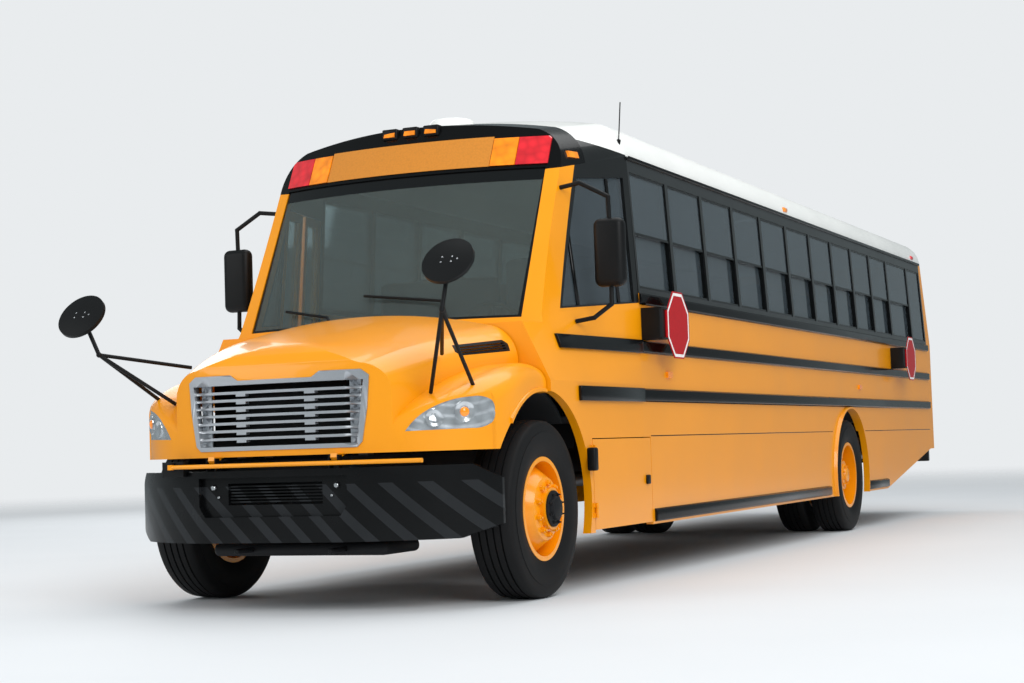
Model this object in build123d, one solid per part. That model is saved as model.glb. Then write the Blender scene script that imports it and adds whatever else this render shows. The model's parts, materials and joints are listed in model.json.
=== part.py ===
from build123d import *
import math
import os

os.makedirs("parts", exist_ok=True)

# Driving dimensions in millimetres: X forward, Y to the bus's left, Z up from the road
WHEELBASE = 7087
FRONT_AXLE_X = 4920
REAR_AXLE_X = FRONT_AXLE_X - WHEELBASE
TYRE_R = 510
TYRE_W = 280
RIM_R = 286
AXLE_Z = TYRE_R
ARCH_R = 610
FRONT_ARCH_R = 622
FRONT_ARCH_RISE = 50
FRONT_WHEEL_Y = 1045
REAR_OUTER_Y = 1078
DUAL_SPACING = 335
KINGPIN_Y = 872

BODY_HALF = 1219
WALL = 50
SKIRT_T = 30
SKIRT_FRONT_X = 3234
SKIRT_LOW_Z = 335
SEAM_Z = 912
FLOOR_TOP_Z = 1040
FLOOR_T = 40
BELT_Z = 1849
GUTTER_Z = 2750
TUMBLE = 55
CROWN_Z = 3073
ROOF_T = 45
POST_X = 3366
REAR_X = -6040
REAR_CAP_X = -5850
COWL_X = 4840
LEAN_DEG = math.degrees(math.atan2(TUMBLE, GUTTER_Z - BELT_Z))

# Passenger windows: ten of one pitch, a wider exit window, then a fixed quarter pane
WINDOW_PITCH = 756
WINDOW_COUNT = 10
EXIT_WINDOW_W = 981
QUARTER_W = 655
PILLAR_W = 56
WINDOW_LOW_Z = 1880
WINDOW_TOP_Z = 2650
SASH_Z = 2244
SASH_BAR = 16
SASH_BACK = 45
SASH_FACE = 5
LOW_PANE_BACK = 40
HIGH_PANE_BACK = 15
PANE_T = 5

# Clearances
DOOR_GAP = 6
LEAF_GAP = 56
FIT = 0.3

# Limits of cuts that pass right through a side or the roof
SIDE_OUT = BODY_HALF + 180
SIDE_IN = BODY_HALF - 320
ROOF_OUT = CROWN_Z + 130
ROOF_IN = CROWN_Z - 170


def block(x0, x1, y0, y1, z0, z1):
    """A box from its limits on the three axes."""
    centre = Pos((x0 + x1) / 2, (y0 + y1) / 2, (z0 + z1) / 2)
    return centre * Box(abs(x1 - x0), abs(y1 - y0), abs(z1 - z0))


def prism(points, axis, start, end, shrink=0):
    """A straight prism along X, Y or Z from an outline in the other two axes."""
    place = {
        "X": lambda a, b: (start, a, b),
        "Y": lambda a, b: (a, start, b),
        "Z": lambda a, b: (a, b, start),
    }[axis]
    along = {"X": (1, 0, 0), "Y": (0, 1, 0), "Z": (0, 0, 1)}[axis]
    face = make_face(Polyline(*[place(a, b) for a, b in points], close=True))
    if shrink:
        face = offset(face, amount=-shrink, kind=Kind.INTERSECTION)
    return extrude(face, amount=end - start, dir=along)


def rod(start, end, radius):
    """A round bar between two points."""
    a, b = Vector(*start), Vector(*end)
    base = Plane(origin=a, z_dir=(b - a).normalized())
    return base * Cylinder(radius, (b - a).length, align=(Align.CENTER, Align.CENTER, Align.MIN))


def bar_path(points, radius):
    """A bent bar: round lengths with a ball at each bend."""
    shape = rod(points[0], points[1], radius)
    for a, b in zip(points[1:], points[2:]):
        shape += Pos(*a) * Sphere(radius * 1.06) + rod(a, b, radius)
    return shape


def mirrored(shape):
    """The same piece on the other side of the bus."""
    return mirror(shape, about=Plane.XZ)


def leaned(shape):
    """Tilts a piece drawn upright at the left wall to the lean of the window band."""
    hinge = Pos(0, BODY_HALF, BELT_Z)
    return hinge * Rot(LEAN_DEG, 0, 0) * hinge.inverse() * shape


def both_sides(shapes):
    """The pieces of the left side and their twins on the right."""
    return list(shapes) + [mirrored(s) for s in shapes]


HINGE_OFF = 16
HINGE_R = 10
HINGE_PIN_R = 5
STRAP = 32


def strap_hinge(x, y, z, fixed, out):
    """A strap hinge on an upright pin: two knuckles on the fixed side, one barrel on the door's."""
    def knuckle_on(direction, z0, z1):
        ends = [(x - out[0] * (HINGE_OFF + 4), y - out[1] * (HINGE_OFF + 4)),
                (x + direction[0] * STRAP - out[0] * 8, y + direction[1] * STRAP - out[1] * 8)]
        (xa, ya), (xb, yb) = ends
        plate = block(min(xa, xb), max(xa, xb), min(ya, yb), max(ya, yb), z0, z1)
        return plate + rod((x, y, z0), (x, y, z1), HINGE_R)
    pin = rod((x, y, z - 45), (x, y, z + 45), HINGE_PIN_R)
    still = knuckle_on(fixed, z - 45, z - 17) + knuckle_on(fixed, z + 17, z + 45) + pin
    barrel = knuckle_on((-fixed[0], -fixed[1]), z - 16, z + 16)
    return still, barrel - rod((x, y, z - 60), (x, y, z + 60), HINGE_PIN_R + FIT)


def save(name, shapes):
    """Writes one node: a solid, or several like solids that do not touch."""
    solids = []
    for shape in shapes if isinstance(shapes, list) else [shapes]:
        solids += shape.solids()
    whole = solids[0] if len(solids) == 1 else Compound(children=solids)
    whole.label = name
    export_step(whole, f"parts/{name}.step")
    print(name, len(solids), "solids")


# Body sections

def roof_face(x, gutter_y, gutter_z, crown_z, inset=0):
    """The roof's outline at one station: two corner arcs and a crown arc above the gutters."""
    y, z, top = gutter_y - inset, gutter_z, crown_z - inset
    shoulder_y = gutter_y * 0.815 - inset * 0.55
    shoulder_z = gutter_z + 0.743 * (crown_z - gutter_z) - inset * 0.9
    rise = GUTTER_Z - BELT_Z
    left = TangentArc((x, y, z), (x, shoulder_y, shoulder_z), tangent=(0, -TUMBLE, rise))
    crown = ThreePointArc((x, shoulder_y, shoulder_z), (x, 0, top), (x, -shoulder_y, shoulder_z))
    right = TangentArc((x, -y, z), (x, -shoulder_y, shoulder_z), tangent=(0, TUMBLE, rise))
    base = Line((x, -y, z), (x, y, z))
    return make_face(left + crown + right + base)


def cab_station(x, half, inset=0, skin=0):
    """A cab section as a closed outline: the half outline from the sill up, and its mirror."""
    points = [(y - inset + skin, z) for y, z in half]
    if inset > 0:
        points[0] = (points[0][0], points[0][1] - 200)
        points[-1] = (points[-1][0] - 4, points[-1][1] + 60)
    outline = points + [(-y, z) for y, z in reversed(points)]
    return make_face(Polyline(*[(x, y, z) for y, z in outline], close=True))


# The cab tapers from the first post to an outline in the plane of the hood's rear edge
CAB_FRONT_X = 4900
# Each half outline runs from the sill to the gutter as (half width, z)
CAB_REAR_HALF = [(BODY_HALF, SKIRT_LOW_Z), (BODY_HALF, 1250), (BODY_HALF, 1790), (BODY_HALF - TUMBLE, GUTTER_Z)]
CAB_FRONT_HALF = [(BODY_HALF - 14, SKIRT_LOW_Z), (BODY_HALF - 24, 1250), (BODY_HALF - 210, 1613),
                  (BODY_HALF - 364, 2439)]


def cab_loft(inset=0, skin=0):
    """The cab's volume, shrunk by an inset or grown by a skin."""
    rear = cab_station(POST_X, CAB_REAR_HALF, inset, skin)
    front = cab_station(CAB_FRONT_X, CAB_FRONT_HALF, inset, skin)
    return loft([rear, front], ruled=True)


# The windshield is a ruled surface: one plan arc at the cowl, the same arc further back above it
GLASS_LOW_Z = 1600
GLASS_HIGH_Z = 3200
GLASS_LOW_X = 4837
GLASS_RAKE = 0.5117
GLASS_SAG = 333
GLASS_HALF = BODY_HALF + 81


def behind_glass(back):
    """Everything behind the windshield surface moved back by a distance along X."""
    faces = []
    for z in (GLASS_LOW_Z - 100, GLASS_HIGH_Z):
        x = GLASS_LOW_X - GLASS_RAKE * (z - GLASS_LOW_Z) - back
        edge = x - GLASS_SAG
        bow = ThreePointArc((edge, -GLASS_HALF, z), (x, 0, z), (edge, GLASS_HALF, z))
        rest = Polyline((edge, GLASS_HALF, z), (3000, GLASS_HALF, z), (3000, -GLASS_HALF, z),
                        (edge, -GLASS_HALF, z))
        faces.append(make_face(bow + rest))
    return loft(faces, ruled=True)


def cab_limit(back):
    """The cab's front boundary: upright at the firewall, raked above the cowl ledge."""
    reach = COWL_X - back
    firewall = block(3000, reach, -GLASS_HALF, GLASS_HALF, 100, GLASS_LOW_Z - back)
    above = block(2900, reach, -SIDE_OUT, SIDE_OUT, GLASS_LOW_Z - back - 10, GLASS_HIGH_Z + 10)
    raked = behind_glass(back) & above
    return raked + firewall


def axle_cylinder(x, radius, rise=0):
    """A cylinder across the bus on an axle's line, or raised above it."""
    return rod((x, -SIDE_OUT, AXLE_Z + rise), (x, SIDE_OUT, AXLE_Z + rise), radius)


def front_arch(grow=0):
    """The front wheel arches' cylinder, whose centre stands above the axle."""
    return axle_cylinder(FRONT_AXLE_X, FRONT_ARCH_R + grow, FRONT_ARCH_RISE)


cab_outer = cab_loft() & cab_limit(0)
cab_shell = cab_outer - (cab_loft(WALL) & cab_limit(WALL)) - front_arch(8)
cab_tail = block(SKIRT_FRONT_X, POST_X, BODY_HALF - WALL, BODY_HALF, SKIRT_LOW_Z, SEAM_Z)
cab_shell += cab_tail + mirrored(cab_tail)

# Cab openings, as outlines
A_PILLAR_FOOT_X = 4440
A_PILLAR_RAKE = 0.434
SCREEN_LOW_HALF = BODY_HALF - 279
SCREEN_HIGH_HALF = BODY_HALF - 294
SCREEN = [(-SCREEN_LOW_HALF, 1640), (SCREEN_LOW_HALF, 1640), (SCREEN_HIGH_HALF, 2600), (-SCREEN_HIGH_HALF, 2600)]
DRIVER_WINDOW = [(4345, 1710), (3430, 1785), (3430, 2600), (3965, 2545)]
QUARTER_WINDOW = [(4345, 1712), (4130, 1730), (4130, 2190)]
DOOR_X = (3400, 4086)
DOOR_Z = (365, 2500)
HATCH_X = (3240, 4250)
ACCESS_PIN_Y = BODY_HALF + 6
ENTRY_PIN_Y = {"entry_leaf_front": -(BODY_HALF + 8), "entry_leaf_rear": -(BODY_HALF + HINGE_OFF)}
ENTRY_HINGE_Z = (560, 1180)
HATCH_Z = (352, 906)

front_zone = prism(
    [(COWL_X - WALL, 100), (COWL_X - WALL, GLASS_LOW_Z - WALL), (A_PILLAR_FOOT_X, GLASS_LOW_Z - WALL),
     (A_PILLAR_FOOT_X - A_PILLAR_RAKE * 1300, GLASS_LOW_Z - WALL + 1300), (5200, 2850), (5200, 100)],
    "Y", -SIDE_OUT, SIDE_OUT)
screen_cut = prism(SCREEN, "X", 3900, 5000)

cab_front = (cab_shell & front_zone) - screen_cut
cab_front -= block(4000, 5000, -SIDE_OUT, SIDE_OUT, 0, SEAM_Z)
save("cab_front", cab_front)

screen_edge = prism(SCREEN, "X", 3900, 5000, shrink=FIT)
save("windshield", (behind_glass(10) - behind_glass(18)) & screen_edge)

cab_sides = cab_shell - front_zone
left_half = block(3000, 5000, 0, SIDE_OUT, 0, 3000)
right_half = block(3000, 5000, -SIDE_OUT, 0, 0, 3000)
driver_cut = prism(DRIVER_WINDOW, "Y", SIDE_IN, SIDE_OUT)
hatch_cut = block(*HATCH_X, SIDE_IN, SIDE_OUT, 0, HATCH_Z[1])
cab_side_left = (cab_sides & left_half) - driver_cut - hatch_cut
access_pin_x = HATCH_X[1] - DOOR_GAP / 2
access_hinges = [strap_hinge(access_pin_x, ACCESS_PIN_Y, z, (1, 0), (0, 1)) for z in (470, 820)]
for still, barrel in access_hinges:
    cab_side_left += still
save("cab_side_left", cab_side_left)

quarter_cut = prism(QUARTER_WINDOW, "Y", -SIDE_OUT, -SIDE_IN)
door_cut = block(*DOOR_X, -SIDE_OUT, -SIDE_IN, 0, DOOR_Z[1])
cab_side_right = (cab_sides & right_half) - quarter_cut - door_cut
entry_barrels = {"entry_leaf_front": [], "entry_leaf_rear": []}
# Entry hinges: (leaf, pin x, side of the fixed strap)
ENTRY_HINGES = [("entry_leaf_front", DOOR_X[1] - DOOR_GAP / 2, 1), ("entry_leaf_rear", DOOR_X[0] + DOOR_GAP / 2, -1)]
for z in ENTRY_HINGE_Z:
    for leaf_name, x, side in ENTRY_HINGES:
        still, barrel = strap_hinge(x, ENTRY_PIN_Y[leaf_name], z, (side, 0), (0, -1))
        cab_side_right += still
        entry_barrels[leaf_name].append(barrel)
save("cab_side_right", cab_side_right)

access_door = cab_sides & block(HATCH_X[0] + DOOR_GAP, HATCH_X[1] - DOOR_GAP, SIDE_IN, SIDE_OUT,
                                HATCH_Z[0], HATCH_Z[1] - DOOR_GAP)
for still, barrel in access_hinges:
    access_door += barrel
save("access_door", access_door)

# Entry door: two leaves cut from the cab's skin, each with an upper and a lower pane
DOOR_MID_X = (DOOR_X[0] + DOOR_X[1]) / 2
LEAF_RIM = 48
LEAF_PANES = [(470, 1130), (1230, 2440)]
leaf_limits = {
    "entry_leaf_front": (DOOR_MID_X + LEAF_GAP / 2, DOOR_X[1] - DOOR_GAP),
    "entry_leaf_rear": (DOOR_X[0] + DOOR_GAP, DOOR_MID_X - LEAF_GAP / 2),
}
pane_skin = cab_loft(20) - cab_loft(26)
for leaf_name, (x0, x1) in leaf_limits.items():
    leaf = cab_sides & block(x0, x1, -SIDE_OUT, -SIDE_IN, DOOR_Z[0], DOOR_Z[1] - DOOR_GAP)
    panes = []
    for z0, z1 in LEAF_PANES:
        leaf -= block(x0 + LEAF_RIM, x1 - LEAF_RIM, -SIDE_OUT, -SIDE_IN, z0, z1)
        edge = block(x0 + LEAF_RIM + FIT, x1 - LEAF_RIM - FIT, -SIDE_OUT, -SIDE_IN, z0 + FIT, z1 - FIT)
        panes.append(pane_skin & edge)
    for barrel in entry_barrels[leaf_name]:
        leaf += barrel
    save(leaf_name, leaf)
    save(leaf_name.replace("leaf", "glass"), panes)

# Side walls, skirts and windows
TAIL_CUT_X = -3650
TAIL_LOW_Z = 700
# Rub rails: (low z, high z, foremost x, rearmost x)
RAIL_T = 22
RAIL_CHAMFER = 12
RAILS = [
    (1133, 1223, POST_X, REAR_CAP_X),
    (1450, 1537, POST_X, REAR_CAP_X),
    (1769, BELT_Z, POST_X, REAR_CAP_X),
    (349, 437, 3210, REAR_AXLE_X + 800),
    (349, 437, REAR_AXLE_X - 640, TAIL_CUT_X),
]
REAR_LIP_W = 24
REAR_FLARE = 28


def arch_lip(x, z, radius, width, face_y, flare):
    """A raised ring round a wheel arch on the left side, tapered towards its outer edge."""
    outline = [(radius, face_y), (radius + width, face_y), (radius + width / 2, face_y + flare),
               (radius, face_y + flare)]
    ring = revolve(make_face(Polyline(*[(r, y, 0) for r, y in outline], close=True)), axis=Axis.Y)
    return Pos(x, 0, z) * ring


rear_lip = arch_lip(REAR_AXLE_X, AXLE_Z, ARCH_R, REAR_LIP_W, BODY_HALF, REAR_FLARE)
WALL_OUTLINE = [
    (BODY_HALF, SEAM_Z), (BODY_HALF, BELT_Z), (BODY_HALF - TUMBLE, GUTTER_Z),
    (BODY_HALF - TUMBLE - WALL, GUTTER_Z), (BODY_HALF - WALL, BELT_Z), (BODY_HALF - WALL, SEAM_Z)]
window_spans = []
window_x = POST_X
for width in [WINDOW_PITCH] * WINDOW_COUNT + [EXIT_WINDOW_W, QUARTER_W]:
    window_spans.append((window_x - width + PILLAR_W / 2, window_x - PILLAR_W / 2))
    window_x -= width

side_wall = prism(WALL_OUTLINE, "X", REAR_CAP_X, POST_X) - axle_cylinder(REAR_AXLE_X, ARCH_R)
side_wall += rear_lip & block(-4000, 0, SIDE_IN, SIDE_OUT, SEAM_Z, RAILS[0][0] - 1)
sashes = []
panes = []
for x0, x1 in window_spans:
    fixed = (x0, x1) == window_spans[-1]
    side_wall -= leaned(block(x0, x1, SIDE_IN, SIDE_OUT, WINDOW_LOW_Z, WINDOW_TOP_Z))
    outer = block(x0 + FIT, x1 - FIT, BODY_HALF - SASH_BACK, BODY_HALF - SASH_FACE,
                  WINDOW_LOW_Z + FIT, WINDOW_TOP_Z - FIT)
    lights = [(WINDOW_LOW_Z + SASH_BAR, WINDOW_TOP_Z - SASH_BAR, BODY_HALF - HIGH_PANE_BACK)]
    if not fixed:
        lights = [(WINDOW_LOW_Z + SASH_BAR, SASH_Z - SASH_BAR / 2, BODY_HALF - LOW_PANE_BACK),
                  (SASH_Z + SASH_BAR / 2, WINDOW_TOP_Z - SASH_BAR, BODY_HALF - HIGH_PANE_BACK)]
    for z0, z1, y in lights:
        outer -= block(x0 + SASH_BAR, x1 - SASH_BAR, SIDE_IN, SIDE_OUT, z0, z1)
        pane = block(x0 + SASH_BAR + FIT, x1 - SASH_BAR - FIT, y, y + PANE_T, z0 + FIT, z1 - FIT)
        panes.append(leaned(pane))
    sashes.append(leaned(outer))
save("side_wall_left", side_wall)
save("side_wall_right", mirrored(side_wall))
save("window_sashes", both_sides(sashes))

driver_edge = prism(DRIVER_WINDOW, "Y", SIDE_IN, SIDE_OUT, shrink=FIT)
quarter_edge = prism(QUARTER_WINDOW, "Y", -SIDE_OUT, -SIDE_IN, shrink=FIT)
fixed_glass = both_sides(panes) + [pane_skin & driver_edge, pane_skin & quarter_edge]

SKIRT_OUTLINE = [(SKIRT_FRONT_X, SKIRT_LOW_Z), (TAIL_CUT_X, SKIRT_LOW_Z), (REAR_CAP_X, TAIL_LOW_Z),
                 (REAR_CAP_X, SEAM_Z), (SKIRT_FRONT_X, SEAM_Z)]
skirt = prism(SKIRT_OUTLINE, "Y", BODY_HALF - SKIRT_T, BODY_HALF) - axle_cylinder(REAR_AXLE_X, ARCH_R)
skirt += rear_lip & block(-4000, 0, SIDE_IN, SIDE_OUT, SKIRT_LOW_Z, SEAM_Z)
save("skirts", both_sides([skirt]))

# Rub rails with a chamfered face, and the drip rail under the roof's edge
rails = []
for z0, z1, front, rear in RAILS:
    outline = [(BODY_HALF, z0), (BODY_HALF + RAIL_T, z0 + RAIL_CHAMFER),
               (BODY_HALF + RAIL_T, z1 - RAIL_CHAMFER), (BODY_HALF, z1)]
    rails.append(prism(outline, "X", rear, front))
gutter_y = BODY_HALF - TUMBLE
drip_outline = [(gutter_y, GUTTER_Z - 26), (gutter_y + 20, GUTTER_Z - 20), (gutter_y + 20, GUTTER_Z + 2),
                (gutter_y + 12, GUTTER_Z + 2), (gutter_y + 12, GUTTER_Z - 12), (gutter_y, GUTTER_Z - 12)]
rails.append(prism(drip_outline, "X", REAR_CAP_X, POST_X) - side_wall)
rail_skin = (cab_loft(skin=RAIL_T) - cab_loft()) & left_half
cab_rails = [rail_skin & block(POST_X, 4430, 0, SIDE_OUT, 1133, 1223),
             rail_skin & block(POST_X, 4540, 0, SIDE_OUT, 1450, 1537)]
save("rub_rails", both_sides(rails) + cab_rails)

# Rear wall: a shallow cap with the emergency doorway and two windows
REAR_LEAN = 120
DOORWAY_HALF = 370
DOORWAY_Z = (FLOOR_TOP_Z + 6, 2560)


def rear_volume(inset):
    """The rear cap's volume: the body section, with the upper half leaning forward."""
    y, top = BODY_HALF - inset, BODY_HALF - TUMBLE - inset
    outline = [(y, TAIL_LOW_Z), (y, BELT_Z), (top, GUTTER_Z), (-top, GUTTER_Z), (-y, BELT_Z), (-y, TAIL_LOW_Z)]
    sides = prism(outline, "X", REAR_X - 10, REAR_CAP_X)
    roof = extrude(roof_face(REAR_X - 10, BODY_HALF - TUMBLE, GUTTER_Z, CROWN_Z, inset),
                   amount=REAR_CAP_X - REAR_X + 10, dir=(1, 0, 0))
    back = REAR_X + inset
    profile = [(REAR_CAP_X, TAIL_LOW_Z), (back, TAIL_LOW_Z), (back, BELT_Z), (back + REAR_LEAN * 0.8, GUTTER_Z),
               (back + REAR_LEAN, CROWN_Z + 10), (REAR_CAP_X, CROWN_Z + 10)]
    return (sides + roof) & prism(profile, "Y", -SIDE_OUT, SIDE_OUT)


rear_shell = rear_volume(0) - rear_volume(WALL)
rear_wall = rear_shell - block(-6200, REAR_CAP_X - 10, -DOORWAY_HALF, DOORWAY_HALF, *DOORWAY_Z)
REAR_PANES = [(470, 1010, 1890, 2480)]
rear_glass = []
for y0, y1, z0, z1 in REAR_PANES:
    for sign in (1, -1):
        rear_wall -= block(-6200, REAR_CAP_X - 60, sign * y0, sign * y1, z0, z1)
exit_pin_y = -DOORWAY_HALF + DOOR_GAP / 2
exit_hinges = [strap_hinge(REAR_X - HINGE_OFF, exit_pin_y, z, (0, -1), (-1, 0)) for z in (1180, 1720)]
for still, barrel in exit_hinges:
    rear_wall += still
save("rear_wall", rear_wall)

DOOR_PANES = [(-290, 290, 1150, 1650), (-290, 290, 1890, 2480)]
emergency_door = rear_shell & block(-6200, REAR_CAP_X - 10, -DOORWAY_HALF + DOOR_GAP, DOORWAY_HALF - DOOR_GAP,
                                    DOORWAY_Z[0] + DOOR_GAP, DOORWAY_Z[1] - DOOR_GAP)
rear_pane_skin = rear_volume(20) - rear_volume(26)
door_glass = []
for y0, y1, z0, z1 in DOOR_PANES:
    emergency_door -= block(-6200, REAR_CAP_X - 60, y0, y1, z0, z1)
    door_glass.append(rear_pane_skin & block(-6200, REAR_CAP_X - 60, y0 + FIT, y1 - FIT, z0 + FIT, z1 - FIT))
for y0, y1, z0, z1 in REAR_PANES:
    pane = rear_pane_skin & block(-6200, REAR_CAP_X - 60, y0 + FIT, y1 - FIT, z0 + FIT, z1 - FIT)
    rear_glass += both_sides([pane])
for still, barrel in exit_hinges:
    emergency_door += barrel
save("emergency_door", emergency_door)
save("emergency_glass", door_glass)
save("window_glass", fixed_glass + rear_glass)

# Roof: the long vault, its falling front end, and the dark cap above the windshield
CAP_REAR_X = 3850
NOSE_X = 4400
NOSE = (BODY_HALF - 263.3, GUTTER_Z - 209.6, CROWN_Z - 178)
MAIN = (BODY_HALF - TUMBLE, GUTTER_Z, CROWN_Z)


def nose_volume(inset):
    """The falling front end of the roof, from the first post to past the windshield's head."""
    return loft([roof_face(POST_X, *MAIN, inset), roof_face(NOSE_X, *NOSE, inset)], ruled=True)


vault_face = roof_face(REAR_CAP_X, *MAIN) - roof_face(REAR_CAP_X, *MAIN, ROOF_T)
vault = extrude(vault_face, amount=POST_X - REAR_CAP_X, dir=(1, 0, 0))
nose = (nose_volume(0) & behind_glass(0)) - (nose_volume(ROOF_T) & behind_glass(ROOF_T))
HATCH_HALF = 290
HATCH_CENTRES = {"roof_hatch_front": 1476, "roof_hatch_rear": -3060}
HATCH_LID_Z = CROWN_Z + 7
LID_PIN_OFF = 14
LID_PIN_Z = CROWN_Z + 15
for centre_x in HATCH_CENTRES.values():
    vault -= block(centre_x - HATCH_HALF + 30, centre_x + HATCH_HALF - 30, -260, 260, ROOF_IN, ROOF_OUT)
    curb = block(centre_x - HATCH_HALF + 10, centre_x + HATCH_HALF - 10, -280, 280, CROWN_Z - 50, CROWN_Z + 1)
    curb -= block(centre_x - HATCH_HALF + 30, centre_x + HATCH_HALF - 30, -260, 260, ROOF_IN, ROOF_OUT)
    vault += curb
    for y in (-200, 200):
        pin_x = centre_x + HATCH_HALF + LID_PIN_OFF
        vault += block(pin_x - 8, pin_x + 8, y + 20, y + 40, CROWN_Z - 20, LID_PIN_Z)
        vault += rod((pin_x, y + 14, LID_PIN_Z), (pin_x, y + 40, LID_PIN_Z), 8)
        vault += rod((pin_x, y - 20, LID_PIN_Z), (pin_x, y + 40, LID_PIN_Z), 4)
split = block(CAP_REAR_X, 4600, -SIDE_OUT, SIDE_OUT, 2300, ROOF_OUT)
# A low round vent stands on the crown just behind the dark cap
VENT_X = 3560
VENT_R = 150
VENT_H = 34
vent_seat = CROWN_Z - (CROWN_Z - NOSE[2]) * (VENT_X - POST_X) / (NOSE_X - POST_X)
vent = Pos(VENT_X, 0, vent_seat) * Cylinder(VENT_R, 2 * VENT_H)
vent = fillet(vent.edges().group_by(Axis.Z)[-1], VENT_H - 6)
vent -= nose_volume(ROOF_T / 2)
save("roof", vault + (nose - split) + vent)
roof_cap = (nose & split) - screen_cut
save("roof_cap_front", roof_cap)
for hatch_name, centre_x in HATCH_CENTRES.items():
    lid = block(centre_x - HATCH_HALF, centre_x + HATCH_HALF, -300, 300, HATCH_LID_Z, HATCH_LID_Z + 36)
    lid = chamfer(lid.faces().sort_by(Axis.Z)[-1].edges(), 20)
    pin_x = centre_x + HATCH_HALF + LID_PIN_OFF
    for y in (-200, 200):
        lid += rod((pin_x, y - 20, LID_PIN_Z), (pin_x, y + 12, LID_PIN_Z), 8)
        lid += block(centre_x + HATCH_HALF - 2, pin_x, y - 20, y + 12, LID_PIN_Z - 6, LID_PIN_Z + 6)
        lid -= rod((pin_x, y - 60, LID_PIN_Z), (pin_x, y + 60, LID_PIN_Z), 4 + FIT)
    save(hatch_name, lid)

# Floor pan with its toe board, rear wheel houses and entry steps
STEP_X = (DOOR_X[0] + 4, DOOR_X[1] - 4)
floor_x0 = REAR_X + WALL + 0.5
floor_y = BODY_HALF - WALL
HOUSE_R = ARCH_R + 25
TOE_GROW = 8
toe_y = floor_y - 21
floor_plan = [(floor_x0, floor_y), (POST_X, floor_y), (4560, toe_y), (4560, -toe_y), (POST_X, -floor_y),
              (floor_x0, -floor_y)]
# Steps: (tread z, inner y) from the door inwards
STEPS = [(420, -900), (730, -640)]
STEP_T = 20
(low_z, low_y), (mid_z, mid_y) = STEPS
STEP_EDGE_Y = -(BODY_HALF - 79)
PAN_LOW_Z = FLOOR_TOP_Z - FLOOR_T
well_y = mid_y + STEP_T + FIT
pan = prism(floor_plan, "Z", PAN_LOW_Z, FLOOR_TOP_Z)
pan -= front_arch(TOE_GROW + 30 + FIT)
house_block = block(REAR_AXLE_X - 900, REAR_AXLE_X + 900, 560, floor_y, PAN_LOW_Z, 1300)
house_room = axle_cylinder(REAR_AXLE_X, HOUSE_R + 12 + FIT) & block(-4000, 0, 560 - FIT, SIDE_OUT, 0, 1300)
pan -= house_room + mirrored(house_room)
# Floor panels beside, behind and ahead of the stepwell: (x0, x1, y0, y1)
PAN_PANELS = [
    (REAR_X, STEP_X[0] - FIT, -SIDE_OUT, SIDE_OUT),
    (STEP_X[0], STEP_X[1], well_y, SIDE_OUT),
    (STEP_X[1] + FIT, COWL_X, -SIDE_OUT, SIDE_OUT),
]
floor = [pan & block(x0, x1, y0, y1, 0, 2000) for x0, x1, y0, y1 in PAN_PANELS]
toe_block = block(4400, COWL_X - WALL - 0.5, -toe_y + 48, toe_y - 48, PAN_LOW_Z, 1300)
floor.append((front_arch(TOE_GROW + 30) & toe_block) - front_arch(TOE_GROW))
house_hollow = axle_cylinder(REAR_AXLE_X, HOUSE_R) & block(-4000, 0, 572, SIDE_OUT, 0, 1300)
house = (axle_cylinder(REAR_AXLE_X, HOUSE_R + 12) & house_block) - house_hollow
floor += both_sides([house])
low_step = [(STEP_EDGE_Y, low_z - STEP_T), (low_y + STEP_T, low_z - STEP_T), (low_y + STEP_T, mid_z - STEP_T - FIT),
            (low_y, mid_z - STEP_T - FIT), (low_y, low_z), (STEP_EDGE_Y, low_z)]
floor.append(prism(low_step, "X", *STEP_X))
floor.append(block(*STEP_X, low_y, mid_y + STEP_T, mid_z - STEP_T, mid_z))
floor.append(block(*STEP_X, mid_y, mid_y + STEP_T, mid_z + FIT, FLOOR_TOP_Z))
cheek = [(STEP_EDGE_Y + 10, low_z + FIT), (low_y - FIT, low_z + FIT), (low_y - FIT, mid_z + FIT),
         (mid_y - FIT, mid_z + FIT), (mid_y - FIT, FLOOR_TOP_Z), (STEP_EDGE_Y + 10, FLOOR_TOP_Z)]
for x in (STEP_X[0], STEP_X[1] - STEP_T):
    floor.append(prism(cheek, "X", x, x + STEP_T))
save("floor", floor)

# Ladder frame
RAIL_OUT_Y = 432
RAIL_Z = (600, 850)
RAIL_FLANGE = 80
FRAME_X = (-5950, 5860)
OUTRIGGER_Y = BODY_HALF - 119
rail_outline = [(RAIL_OUT_Y, RAIL_Z[0]), (RAIL_OUT_Y, RAIL_Z[1]), (RAIL_OUT_Y - RAIL_FLANGE, RAIL_Z[1]),
                (RAIL_OUT_Y - RAIL_FLANGE, RAIL_Z[1] - 12), (RAIL_OUT_Y - 12, RAIL_Z[1] - 12),
                (RAIL_OUT_Y - 12, RAIL_Z[0] + 12), (RAIL_OUT_Y - RAIL_FLANGE, RAIL_Z[0] + 12),
                (RAIL_OUT_Y - RAIL_FLANGE, RAIL_Z[0])]
frame_rail = prism(rail_outline, "X", *FRAME_X)
frame = both_sides([frame_rail])
web_y = RAIL_OUT_Y - 12 - FIT
for x in (-5700, -3300, -900, 700, 2300, 3700, 5760):
    frame.append(block(x - 40, x + 40, -web_y, web_y, RAIL_Z[0] + 120, RAIL_Z[1] - 12 - FIT))
step_room = block(*STEP_X, -SIDE_OUT, -600, 0, 1100)
for x in (-5400, -4100, -700, 900, 2500, 4250):
    outrigger = block(x - 35, x + 35, -OUTRIGGER_Y, OUTRIGGER_Y, RAIL_Z[1] + FIT, PAN_LOW_Z)
    frame.append(outrigger - step_room)
save("frame", frame)

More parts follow.
